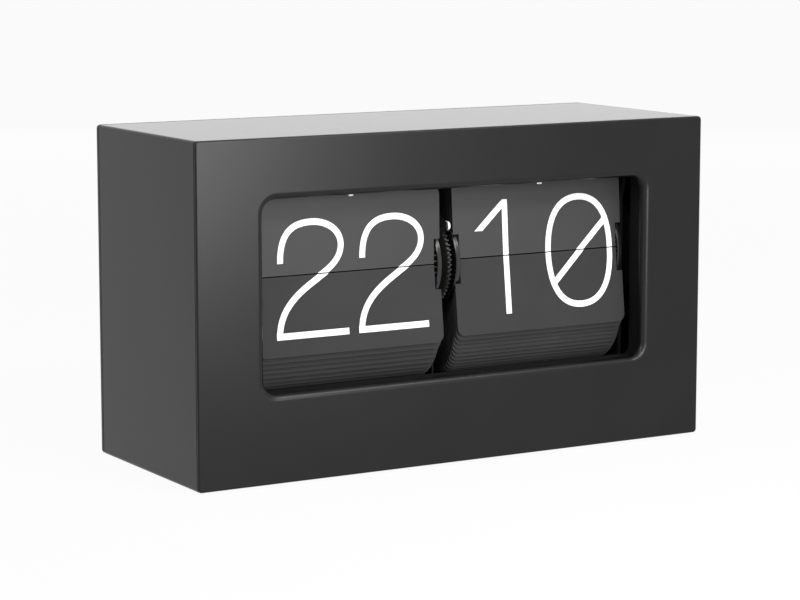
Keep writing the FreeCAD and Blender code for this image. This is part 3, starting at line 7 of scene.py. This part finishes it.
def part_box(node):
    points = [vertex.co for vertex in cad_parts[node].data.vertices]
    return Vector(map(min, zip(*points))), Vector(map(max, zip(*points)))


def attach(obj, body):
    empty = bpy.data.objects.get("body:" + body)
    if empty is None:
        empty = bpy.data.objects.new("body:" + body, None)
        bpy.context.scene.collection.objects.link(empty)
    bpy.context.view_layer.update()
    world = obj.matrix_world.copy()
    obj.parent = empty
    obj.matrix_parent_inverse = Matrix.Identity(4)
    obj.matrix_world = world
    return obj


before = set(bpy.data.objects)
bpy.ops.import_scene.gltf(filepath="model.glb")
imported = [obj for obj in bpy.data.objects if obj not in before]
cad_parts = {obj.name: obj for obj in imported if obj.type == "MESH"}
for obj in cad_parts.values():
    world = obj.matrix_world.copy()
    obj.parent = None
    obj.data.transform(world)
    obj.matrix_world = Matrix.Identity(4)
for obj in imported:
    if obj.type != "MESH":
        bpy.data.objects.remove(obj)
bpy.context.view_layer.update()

mm = 0.001
print("frame loaded:", len(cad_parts), "nodes")


# small helpers

def deselect():
    if bpy.context.object and bpy.context.object.mode != "OBJECT":
        bpy.ops.object.mode_set(mode="OBJECT")
    bpy.ops.object.select_all(action="DESELECT")


def pick(piece):
    deselect()
    piece.select_set(True)
    bpy.context.view_layer.objects.active = piece


def applyPlace(piece):
    pick(piece)
    bpy.ops.object.transform_apply(location=True, rotation=True, scale=True)


def applyModifier(piece, kind, **settings):
    pick(piece)
    modifier = piece.modifiers.new(kind.lower(), kind)
    for key, value in settings.items():
        setattr(modifier, key, value)
    bpy.ops.object.modifier_apply(modifier=modifier.name)


def joinPieces(pieces, name):
    deselect()
    for piece in pieces:
        piece.select_set(True)
    bpy.context.view_layer.objects.active = pieces[0]
    bpy.ops.object.join()
    joined = bpy.context.object
    joined.name = name
    joined.data.name = name
    return joined


def copyPiece(piece, name):
    twin = piece.copy()
    twin.data = piece.data.copy()
    twin.name = name
    bpy.context.collection.objects.link(twin)
    return twin


# materials

zoneEdge = 0.05  # half the width, in mm, over which one colour gives way to another
noise = {"cloudDetail": 3.0, "cloudLow": 0.3, "cloudHigh": 0.7, "grainDetail": 2.0, "grainRoughness": 0.6,
         "bumpStrength": 0.5}


def hexColour(text):
    # sRGB hex to the linear values that the shader wants
    linear = []
    for start in (1, 3, 5):
        value = int(text[start:start + 2], 16) / 255
        linear.append(value / 12.92 if value <= 0.04045 else ((value + 0.055) / 1.055) ** 2.4)
    return (linear[0], linear[1], linear[2], 1.0)


def addNode(tree, kind, settings=(), links=()):
    node = tree.nodes.new(kind)
    for key, value in dict(settings).items():
        if key in node.inputs.keys():
            node.inputs[key].default_value = value
        else:
            setattr(node, key, value)
    for key, source in dict(links).items():
        tree.links.new(source, node.inputs[key])
    return node


def blendColours(tree, share, first, second):
    # A Mix node has its factor at input 0, its colours at 6 and 7, and the mixed colour at output 2.
    mixed = addNode(tree, "ShaderNodeMix", {"data_type": "RGBA"})
    tree.links.new(share, mixed.inputs[0])
    for index, colour in ((6, first), (7, second)):
        if isinstance(colour, str):
            mixed.inputs[index].default_value = hexColour(colour)
        else:
            tree.links.new(colour, mixed.inputs[index])
    return mixed.outputs[2]


def zoneMask(tree, place, zone):
    # 1 outside a ball or outside a band across one axis, 0 within it. Places are in millimetres.
    if "ball" in zone:
        reach = addNode(tree, "ShaderNodeVectorMath", {"operation": "DISTANCE"})
        tree.links.new(place, reach.inputs[0])
        reach.inputs[1].default_value = Vector(zone["ball"]) * mm
        value = reach.outputs["Value"]
    else:
        split = addNode(tree, "ShaderNodeSeparateXYZ", {}, {"Vector": place})
        offset = addNode(tree, "ShaderNodeMath", {"operation": "SUBTRACT"})
        tree.links.new(split.outputs[zone["axis"]], offset.inputs[0])
        offset.inputs[1].default_value = zone["middle"] * mm
        away = addNode(tree, "ShaderNodeMath", {"operation": "ABSOLUTE"})
        tree.links.new(offset.outputs[0], away.inputs[0])
        value = away.outputs[0]
    return addNode(tree, "ShaderNodeMapRange", {"From Min": (zone["limit"] - zoneEdge) * mm,
                                                "From Max": (zone["limit"] + zoneEdge) * mm},
                   {"Value": value}).outputs["Result"]


def makeFinish(name, look, zone=None):
    # Two colours mixed by a soft cloud, roughness that wanders a little, and a fine grain as bump.
    made = bpy.data.materials.new(name)
    made.use_nodes = True
    tree = made.node_tree
    tree.nodes.clear()
    objectPlace = addNode(tree, "ShaderNodeTexCoord").outputs["Object"]
    place = addNode(tree, "ShaderNodeMapping", {"Scale": look.get("stretch", (1.0, 1.0, 1.0))},
                    {"Vector": objectPlace}).outputs["Vector"]
    cloud = addNode(tree, "ShaderNodeTexNoise",
                    {"Scale": 1 / (look["cloudMm"] * mm), "Detail": noise["cloudDetail"]},
                    {"Vector": place}).outputs["Fac"]
    grain = addNode(tree, "ShaderNodeTexNoise",
                    {"Scale": 1 / (look["grainMm"] * mm), "Detail": noise["grainDetail"],
                     "Roughness": noise["grainRoughness"]}, {"Vector": place}).outputs["Fac"]
    spread = addNode(tree, "ShaderNodeMapRange",
                     {"From Min": noise["cloudLow"], "From Max": noise["cloudHigh"]},
                     {"Value": cloud}).outputs["Result"]
    colour = blendColours(tree, spread, look["colour"], look["colourTwo"])
    rough = addNode(tree, "ShaderNodeMapRange", {"To Min": look["rough"][0], "To Max": look["rough"][1]},
                    {"Value": grain}).outputs["Result"]
    bump = addNode(tree, "ShaderNodeBump",
                   {"Strength": look.get("bumpStrength", noise["bumpStrength"]),
                    "Distance": look["bumpMm"] * mm}, {"Height": grain}).outputs["Normal"]
    shader = addNode(tree, "ShaderNodeBsdfPrincipled", {"IOR": look.get("ior", 1.5)},
                     {"Roughness": rough, "Normal": bump})
    shader.inputs["Metallic"].default_value = look.get("metallic", 0.0)
    if zone:
        mask = zoneMask(tree, objectPlace, zone)
        colour = blendColours(tree, mask, colour, zone["colour"])
        if "metallic" in zone:
            tree.links.new(mask, shader.inputs["Metallic"])
    tree.links.new(colour, shader.inputs["Base Color"])
    addNode(tree, "ShaderNodeOutputMaterial", {}, {"Surface": shader.outputs["BSDF"]})
    return made


def middleAndHalf(node, axis):
    # The middle and the half length of a node's box along one axis, in millimetres
    low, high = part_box(node)
    return (low[axis] + high[axis]) / 2 / mm, (high[axis] - low[axis]) / 2 / mm


# Satin lacquer sprayed on the moulded case: faint orange peel and a soft, even gloss.
satinLacquer = makeFinish("satinBlackLacquer", {
    "colour": "#0b0b0c", "colourTwo": "#101011", "cloudMm": 30, "grainMm": 0.9,
    "rough": (0.29, 0.34), "bumpMm": 0.006, "ior": 1.35})
# ABS moulded in a spark-eroded tool: a dull, even grain, drawn three times as coarse so that it shows.
mouldedAbs = makeFinish("mouldedBlackAbs", {
    "colour": "#121213", "colourTwo": "#1a1a1b", "cloudMm": 22, "grainMm": 0.9,
    "rough": (0.42, 0.62), "bumpMm": 0.09, "bumpStrength": 0.7})
# The frame behind the window is dull so that it drops out of sight.
dullAbs = makeFinish("dullBlackAbs", {
    "colour": "#080808", "colourTwo": "#0b0b0b", "cloudMm": 18, "grainMm": 0.5,
    "rough": (0.7, 0.82), "bumpMm": 0.03, "ior": 1.3})
# Calendered PVC sheet: the printed side is almost flat, with a soft sheen.
cardSheet = makeFinish("printedPvcSheet", {
    "colour": "#2c2c2d", "colourTwo": "#2f2f30", "cloudMm": 26, "grainMm": 0.6,
    "rough": (0.47, 0.53), "bumpMm": 0.008, "ior": 1.4})
# The lower cards show their backs, which the rolls left more matt.
mattSheet = makeFinish("mattPvcSheet", {
    "colour": "#2c2c2d", "colourTwo": "#303031", "cloudMm": 26, "grainMm": 0.6,
    "rough": (0.62, 0.7), "bumpMm": 0.008, "ior": 1.3})
# Screen-printed ink: opaque white with a hardly visible mesh mark.
printedInk = makeFinish("screenPrintedInk", {
    "colour": "#fbfbfa", "colourTwo": "#f4f4f2", "cloudMm": 6, "grainMm": 0.4,
    "rough": (0.5, 0.65), "bumpMm": 0.005, "ior": 1.45})
# Drum discs from glossy ABS, so that their bevels catch the light.
glossAbs = makeFinish("glossBlackAbs", {
    "colour": "#161617", "colourTwo": "#1b1b1c", "cloudMm": 12, "grainMm": 0.6,
    "rough": (0.16, 0.24), "bumpMm": 0.008, "ior": 1.52})
# The pawl's nose is white nylon, and its arm behind is dark.
pawlNylon = makeFinish("nylonPawl", {
    "colour": "#ecece6", "colourTwo": "#dfdfd8", "cloudMm": 5, "grainMm": 0.3,
    "rough": (0.38, 0.5), "bumpMm": 0.01},
    {"ball": (3.6, -25.7, 84.7), "limit": 2.2, "colour": "#0d0d0d"})
# Black acetal on the drive side, where nothing bright shows beside the cards.
blackAcetal = makeFinish("blackAcetal", {
    "colour": "#101011", "colourTwo": "#151516", "cloudMm": 7, "grainMm": 0.35,
    "rough": (0.4, 0.5), "bumpMm": 0.01})
# Moulded nylon: milky and slightly waxy.
whiteNylon = makeFinish("whiteNylon", {
    "colour": "#ecece6", "colourTwo": "#dfdfd8", "cloudMm": 5, "grainMm": 0.3,
    "rough": (0.38, 0.5), "bumpMm": 0.01, "ior": 1.53})
# Acetal gears straight from the mould.
naturalAcetal = makeFinish("naturalAcetal", {
    "colour": "#d9d6c8", "colourTwo": "#cdc9ba", "cloudMm": 7, "grainMm": 0.35,
    "rough": (0.3, 0.42), "bumpMm": 0.01, "ior": 1.48})
# Drawn steel, turned and polished along its length.
turnedSteel = makeFinish("turnedSteel", {
    "colour": "#b9babb", "colourTwo": "#a5a6a8", "cloudMm": 4, "grainMm": 0.2,
    "rough": (0.18, 0.3), "bumpMm": 0.004, "metallic": 1.0, "stretch": (6.0, 1.0, 1.0)})
# Screws with a bright zinc plate.
zincPlate = makeFinish("zincPlatedSteel", {
    "colour": "#aeb1b6", "colourTwo": "#9b9fa6", "cloudMm": 1.5, "grainMm": 0.2,
    "rough": (0.26, 0.4), "bumpMm": 0.006, "metallic": 1.0})
# Screws blackened by oxide: dark, with a little oil sheen.
blackOxide = makeFinish("blackOxideSteel", {
    "colour": "#2b2b2d", "colourTwo": "#1f1f20", "cloudMm": 1.5, "grainMm": 0.2,
    "rough": (0.34, 0.5), "bumpMm": 0.006, "metallic": 0.9})
# Nickel-plated spring steel contacts.
nickelPlate = makeFinish("nickelPlatedSteel", {
    "colour": "#c9c6bd", "colourTwo": "#b8b4aa", "cloudMm": 3, "grainMm": 0.2,
    "rough": (0.14, 0.26), "bumpMm": 0.004, "metallic": 1.0})
# Pads die-cut from black rubber sheet.
rubberSheet = makeFinish("cutRubberSheet", {
    "colour": "#101010", "colourTwo": "#181817", "cloudMm": 3, "grainMm": 0.3,
    "rough": (0.75, 0.9), "bumpMm": 0.05})
# Black bracket: cold-rolled sheet with a thin powder coat.
powderCoat = makeFinish("powderCoatedSheet", {
    "colour": "#0b0b0b", "colourTwo": "#0e0e0e", "cloudMm": 8, "grainMm": 0.5,
    "rough": (0.65, 0.8), "bumpMm": 0.04, "ior": 1.3})
# Shrink-wrapped cell: glossy dark film that leaves the plated steel ends bare.
cellMiddle, cellHalf = middleAndHalf("battery_cell", 0)
cellBareEnd = 2.6
cellWrap = makeFinish("shrinkWrapFilm", {
    "colour": "#24262b", "colourTwo": "#2c2f35", "cloudMm": 14, "grainMm": 2.0,
    "rough": (0.16, 0.24), "bumpMm": 0.03},
    {"axis": 0, "middle": cellMiddle, "limit": cellHalf - cellBareEnd, "colour": "#bdbcb8",
     "metallic": True})
# Solder mask over copper; the parts soldered on it are moulded in black.
boardSheet = 1.2
maskRise = 0.1
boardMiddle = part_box("circuit_board")[0][2] / mm + boardSheet / 2
solderMask = makeFinish("greenSolderMask", {
    "colour": "#10482a", "colourTwo": "#0c3a21", "cloudMm": 1.6, "grainMm": 0.5,
    "rough": (0.2, 0.3), "bumpMm": 0.03},
    {"axis": 2, "middle": boardMiddle, "limit": boardSheet / 2 + maskRise, "colour": "#151516"})
# Soft PVC over fine wire.
wireSheath = makeFinish("redPvcSheath", {
    "colour": "#8e1512", "colourTwo": "#7a110f", "cloudMm": 3, "grainMm": 0.5,
    "rough": (0.3, 0.4), "bumpMm": 0.01})

nodeFinish = {
    satinLacquer: ["case_shell", "front_bezel"],
    mouldedAbs: ["rear_cover", "battery_door", "setting_wheel", "battery_tray"],
    dullAbs: ["window_frame", "base_frame", "left_side_plate", "right_side_plate", "top_rail",
              "gearbox_cover"],
    cardSheet: ["hour_top_flap", "hour_fan_flaps", "minute_top_flap", "minute_fan_flaps"],
    mattSheet: ["hour_lower_flap", "hour_stack_flaps", "minute_lower_flap", "minute_stack_flaps_1",
                "minute_stack_flaps_2", "minute_stack_flaps_3", "minute_rear_flaps"],
    glossAbs: ["hour_hub", "hour_disc_left", "hour_disc_right", "minute_hub", "minute_disc_left",
               "minute_disc_right"],
    whiteNylon: ["hour_hook", "minute_hook"],
    pawlNylon: ["click_pawl"],
    blackAcetal: ["drive_gear", "minute_click_wheel"],
    naturalAcetal: ["minute_pinion", "hour_gear", "lay_wheel", "lay_pinion", "idler_gear",
                    "reduction_wheel"],
    turnedSteel: ["main_axle", "retaining_clips", "bracket_studs", "reduction_stud", "motor_pinion",
                  "drive_motor"],
    zincPlate: ["window_frame_screws", "board_screws", "frame_screws", "motor_screws"],
    blackOxide: ["base_screws", "rear_cover_screws"],
    nickelPlate: ["battery_spring", "battery_plate"],
    rubberSheet: ["rubber_pads"],
    powderCoat: ["centre_bracket"],
    cellWrap: ["battery_cell"],
    solderMask: ["circuit_board"],
    wireSheath: ["battery_leads", "motor_leads"],
}
for material, names in nodeFinish.items():
    for name in names:
        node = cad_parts[name]
        node.data.materials.clear()
        node.data.materials.append(material)
left = [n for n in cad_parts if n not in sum(nodeFinish.values(), [])]
print("materials on", len(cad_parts) - len(left), "nodes, left:", left)


# numbers on the cards

drum = {"axisY": -12.5, "axisZ": 71.0, "pinCircle": 16.0, "cardThickness": 0.15, "lowerLean": 186.7}
# Angles around the drum in degrees, from the front upwards. A card leans back by its angle less a lag.
# A number starts at a place across the clock, and the lower card of each drum rides on a body.
hourCards = {"topAngle": 5.5, "pitch": 7.5, "lag": 4.2, "numberStart": -68.6, "lowerBody": "hour_drum"}
minuteCards = {"topAngle": 9.0, "pitch": 6.0, "lag": 4.8, "numberStart": 11.7, "lowerBody": "minute_lower"}
# Widths and heights in mm. The weld and the angle, in degrees, clean up where two strokes meet.
ink = {"stroke": 2.3, "film": 0.04, "gap": 0.004, "steps": 14, "cells": (0.0, 32.8), "flagCut": 9.3,
       "secondStrokeRise": 1.1, "weld": 0.003, "flatAngle": 1.5}
# Each digit is a list of strokes on (across, up), in mm, with the split between the cards at 0.
# A stroke lists its points with the handles before and after them; a straight line has no handles.
digits = {
    "2": [
        [((1.5, 4.2), (1.5, 2.2), (1.5, 14.2)), ((14.0, 18.2), (5.6, 18.2), (20.5, 18.2)),
         ((25.7, 9.6), (25.7, 14.6), (25.7, 4.4)), ((17.4, -0.7), (20.9, 1.35), (10.6, -4.86)),
         ((0.0, -21.95), (0.0, -9.95), (0.0, -22.95))],
        [((-1.15, -20.8),), ((27.6, -20.8),)]],
    "3": [
        [((1.8, 12.6), (1.0, 10.4), (3.6, 16.4)), ((13.2, 18.2), (8.0, 18.2), (19.6, 18.2)),
         ((24.4, 9.1), (24.4, 14.4), (24.4, 3.4)), ((12.4, -0.4), (18.6, -0.4), (11.4, -0.4))],
        [((11.4, -0.4), (10.4, -0.4), (20.2, -0.4)), ((26.4, -10.6), (26.4, -4.8), (26.4, -16.8)),
         ((13.2, -20.8), (20.6, -20.8), (6.8, -20.8)), ((0.8, -14.4), (2.4, -18.6), (0.2, -12.4))]],
    "1": [
        [((14.3, 20.2),), ((14.3, -21.1),)],
        [((-0.2, 6.6),), ((13.6, 19.0),)]],
    "0": [
        [((13.6, 19.5), (4.9, 19.5), (22.3, 19.5)), ((27.3, -0.2), (27.3, 12.6), (27.3, -13.0)),
         ((13.6, -19.9), (22.3, -19.9), (4.9, -19.9)), ((-0.1, -0.2), (-0.1, -13.0), (-0.1, 12.6))],
        [((1.4, -11.9),), ((25.8, 11.0),)]],
}
closedStroke = ("0", 0)  # the oval of the 0


def cutAway(piece, point, normal):
    # Cuts along a plane, keeps the side that the normal leaves and closes the cut.
    pick(piece)
    bpy.ops.object.mode_set(mode="EDIT")
    bpy.ops.mesh.select_all(action="SELECT")
    bpy.ops.mesh.bisect(plane_co=point, plane_no=normal, use_fill=True, clear_outer=True)
    bpy.ops.object.mode_set(mode="OBJECT")


def makeStroke(points, closed):
    # A ribbon of ink along a line in the card's plane, made a mesh.
    deselect()
    bpy.ops.curve.primitive_bezier_curve_add()
    line = bpy.context.object
    line.data.dimensions = "2D"
    line.data.fill_mode = "NONE"
    spline = line.data.splines[0]
    spline.bezier_points.add(len(points) - len(spline.bezier_points))
    spline.use_cyclic_u = closed
    spline.resolution_u = ink["steps"] if len(points[0]) > 1 else 1
    for target, place in zip(spline.bezier_points, points):
        kind = "FREE" if len(place) > 1 else "VECTOR"
        target.handle_left_type = target.handle_right_type = kind
        target.co = (*place[0], 0.0)
        if len(place) > 1:
            target.handle_left = (*place[1], 0.0)
            target.handle_right = (*place[2], 0.0)
    line.data.bevel_mode = "OBJECT"
    line.data.bevel_object = nib
    line.data.use_fill_caps = True
    pick(line)
    bpy.ops.object.convert(target="MESH")
    return bpy.context.object


def makeDigit(text):
    strokes = []
    for count, points in enumerate(digits[text]):
        strokes.append(makeStroke(points, (text, count) == closedStroke))
    if text == "1":
        cutAway(strokes[1], (0.0, ink["flagCut"], 0.0), (0.0, -1.0, 0.0))
    whole = strokes[0]
    for stroke in strokes[1:]:
        stroke.scale.z = ink["secondStrokeRise"]  # keeps its faces off those of the first stroke
        applyPlace(stroke)
        applyModifier(whole, "BOOLEAN", operation="UNION", object=stroke, solver="EXACT")
        bpy.data.objects.remove(stroke)
    pick(whole)
    bpy.ops.object.mode_set(mode="EDIT")
    bpy.ops.mesh.select_all(action="SELECT")
    bpy.ops.mesh.remove_doubles(threshold=ink["weld"])
    bpy.ops.mesh.dissolve_limited(angle_limit=radians(ink["flatAngle"]))
    bpy.ops.object.mode_set(mode="OBJECT")
    return whole


def makeNib():
    # The section of a stroke: as wide as the stroke and as thick as the film of ink.
    deselect()
    bpy.ops.curve.primitive_bezier_curve_add()
    section = bpy.context.object
    section.data.dimensions = "2D"
    spline = section.data.splines[0]
    spline.use_cyclic_u = True
    spline.resolution_u = 1
    half, film = ink["stroke"] / 2, ink["film"] / 2
    corners = [(-half, -film), (half, -film), (half, film), (-half, film)]
    spline.bezier_points.add(len(corners) - len(spline.bezier_points))
    for target, place in zip(spline.bezier_points, corners):
        target.handle_left_type = target.handle_right_type = "VECTOR"
        target.co = (*place, 0.0)
    return section


nib = makeNib()
patterns = {text: makeDigit(text) for text in digits}
bpy.data.objects.remove(nib)


def cardPlane(angle, lean, facing):
    # A card's pin is on the drum's pin circle, and the card leaves it in the direction of its lean.
    turn, tilt = radians(angle), radians(lean)
    pinY = drum["axisY"] - drum["pinCircle"] * cos(turn)
    pinZ = drum["axisZ"] + drum["pinCircle"] * sin(turn)
    out = Vector((0.0, -cos(tilt), sin(tilt))) * facing
    up = Vector((0.0, sin(tilt), cos(tilt)))
    return Vector((0.0, pinY, pinZ)), up, out


def cardTail(node, angle, lean):
    # How far a card reaches past its pin towards the split, from its own box.
    pin = cardPlane(angle, lean, 1)[0]
    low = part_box(node)[0][2] / mm
    return (pin.z - low - drum["cardThickness"] / 2 * abs(sin(radians(lean)))) / cos(radians(lean))


def printNumber(name, text, start, upper, angle, lean, tail, facing, body):
    # Prints one half of a two-digit number on one side of a card.
    pin, up, out = cardPlane(angle, lean, facing)
    lift = drum["cardThickness"] / 2 + ink["gap"] + ink["film"] / 2
    rise = up if upper else -up
    halves = []
    for cell, digit in zip(ink["cells"], text):
        half = copyPiece(patterns[digit], name + digit)
        cutAway(half, (0.0, 0.0, 0.0), (0.0, -1.0 if upper else 1.0, 0.0))
        half.data.transform(Matrix.Translation((start + cell, 0.0, 0.0)))
        halves.append(half)
    number = joinPieces(halves, name)
    pick(number)
    bpy.ops.object.shade_flat()
    origin = pin - up * tail
    turn = Matrix(((1.0, 0.0, 0.0, 0.0), (0.0, rise.y, out.y, origin.y + out.y * lift),
                   (0.0, rise.z, out.z, origin.z + out.z * lift), (0.0, 0.0, 0.0, 1.0)))
    number.data.transform(Matrix.Scale(mm, 4) @ turn)
    number.data.materials.clear()
    number.data.materials.append(printedInk)
    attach(number, body)


def printSide(side, cards, current, following):
    top, nextUp = cards["topAngle"], cards["topAngle"] + cards["pitch"]
    down = cards["topAngle"] - cards["pitch"]
    topLean = top - cards["lag"]
    tail = cardTail(side + "_top_flap", top, topLean)
    start = cards["numberStart"]
    printNumber(side + "NumberUpper", current, start, True, top, topLean, tail, 1, side + "_top")
    printNumber(side + "NextLower", following, start, False, top, topLean, tail, -1, side + "_top")
    printNumber(side + "NextUpper", following, start, True, nextUp, nextUp - cards["lag"], tail, 1,
                side + "_drum")
    printNumber(side + "NumberLower", current, start, False, down, drum["lowerLean"], tail, -1,
                cards["lowerBody"])


printSide("hour", hourCards, "22", "23")
printSide("minute", minuteCards, "10", "11")
for pattern in patterns.values():
    bpy.data.objects.remove(pattern)
print("numbers printed")


# camera, floor and light

view = {"azimuth": -30.61, "elevation": 8.51, "place": (-497.6, -837.7, 200.3), "focalPx": 2668.0,
        "frameWidthPx": 800.0, "sensorMm": 36.0, "clipEnd": 100.0}
cameraData = bpy.data.cameras.new("viewpoint")
cameraData.sensor_width = view["sensorMm"]
cameraData.sensor_fit = "HORIZONTAL"
cameraData.lens = view["focalPx"] / view["frameWidthPx"] * view["sensorMm"]
cameraData.clip_end = view["clipEnd"]
camera = bpy.data.objects.new("viewpoint", cameraData)
bpy.context.collection.objects.link(camera)
camera.location = Vector(view["place"]) * mm
camera.rotation_euler = (radians(90.0 - view["elevation"]), 0.0, radians(view["azimuth"]))
bpy.context.scene.camera = camera

scene = bpy.context.scene
scene.view_settings.view_transform = "Standard"


def whiteToTheEye(tree):
    # 1 for a ray from the camera, from gloss or through glass, and 0 for light that falls on the clock
    path = addNode(tree, "ShaderNodeLightPath")
    first = addNode(tree, "ShaderNodeMath", {"operation": "MAXIMUM"})
    tree.links.new(path.outputs["Is Camera Ray"], first.inputs[0])
    tree.links.new(path.outputs["Is Glossy Ray"], first.inputs[1])
    second = addNode(tree, "ShaderNodeMath", {"operation": "MAXIMUM"})
    tree.links.new(first.outputs[0], second.inputs[0])
    tree.links.new(path.outputs["Is Transmission Ray"], second.inputs[1])
    return second.outputs[0]


studio = {"ambient": 0.14, "floorColour": "#f4f4f4", "floorGlow": 0.95, "floorSize": 40.0}
world = bpy.data.worlds.new("studio")
world.use_nodes = True
scene.world = world
tree = world.node_tree
tree.nodes.clear()
level = addNode(tree, "ShaderNodeMapRange", {"To Min": studio["ambient"], "To Max": 1.0},
                {"Value": whiteToTheEye(tree)})
sky = addNode(tree, "ShaderNodeBackground", {"Color": (1, 1, 1, 1)},
              {"Strength": level.outputs["Result"]})
addNode(tree, "ShaderNodeOutputWorld", {}, {"Surface": sky.outputs["Background"]})

deselect()
bpy.ops.mesh.primitive_plane_add(size=studio["floorSize"], location=(0, 0, 0))
floor = bpy.context.object
floor.name = "floor"
floorPaint = bpy.data.materials.new("paleFloor")
floorPaint.use_nodes = True
tree = floorPaint.node_tree
tree.nodes.clear()
matte = addNode(tree, "ShaderNodeBsdfDiffuse", {"Color": hexColour(studio["floorColour"])})
glow = addNode(tree, "ShaderNodeEmission", {"Color": (1, 1, 1, 1), "Strength": 1.0})
share = addNode(tree, "ShaderNodeMath", {"operation": "MULTIPLY"})
tree.links.new(whiteToTheEye(tree), share.inputs[0])
share.inputs[1].default_value = studio["floorGlow"]
blend = addNode(tree, "ShaderNodeMixShader", {}, {"Fac": share.outputs[0]})
tree.links.new(matte.outputs[0], blend.inputs[1])
tree.links.new(glow.outputs[0], blend.inputs[2])
addNode(tree, "ShaderNodeOutputMaterial", {}, {"Surface": blend.outputs[0]})
floor.data.materials.append(floorPaint)

# Lamps: place and aim in metres, size in metres, power in watts.
lamps = {
    "frontSoftbox": {"place": (0.05, -0.48, 0.15), "aim": (-0.1, -0.04, 0.09),
                     "size": (0.16, 0.26), "power": 1.6},
    "keySoftbox": {"place": (-0.25, -0.75, 0.66), "aim": (0.0, -0.04, 0.07),
                   "size": (1.0, 0.12), "power": 2.5},
    "backSoftbox": {"place": (0.75, 1.1, 0.36), "aim": (0.0, 0.0, 0.12),
                    "size": (1.7, 0.5), "power": 3.1},
    "topSoftbox": {"place": (0.27, -0.54, 0.53), "aim": (-0.05, -0.04, 0.06),
                   "size": (0.2, 0.13), "power": 1.6},
    "leftSoftbox": {"place": (-0.75, -0.3, 0.45), "aim": (0.0, -0.03, 0.07),
                    "size": (0.25, 0.25), "power": 1.6},
}
for name, look in lamps.items():
    lamp = bpy.data.lights.new(name, "AREA")
    lamp.shape = "RECTANGLE"
    lamp.size, lamp.size_y = look["size"]
    lamp.energy = look["power"]
    holder = bpy.data.objects.new(name, lamp)
    bpy.context.collection.objects.link(holder)
    holder.location = look["place"]
    holder.visible_camera = False
    aim = Vector(look["aim"]) - Vector(look["place"])
    holder.rotation_euler = aim.to_track_quat("-Z", "Y").to_euler()
print("studio ready")
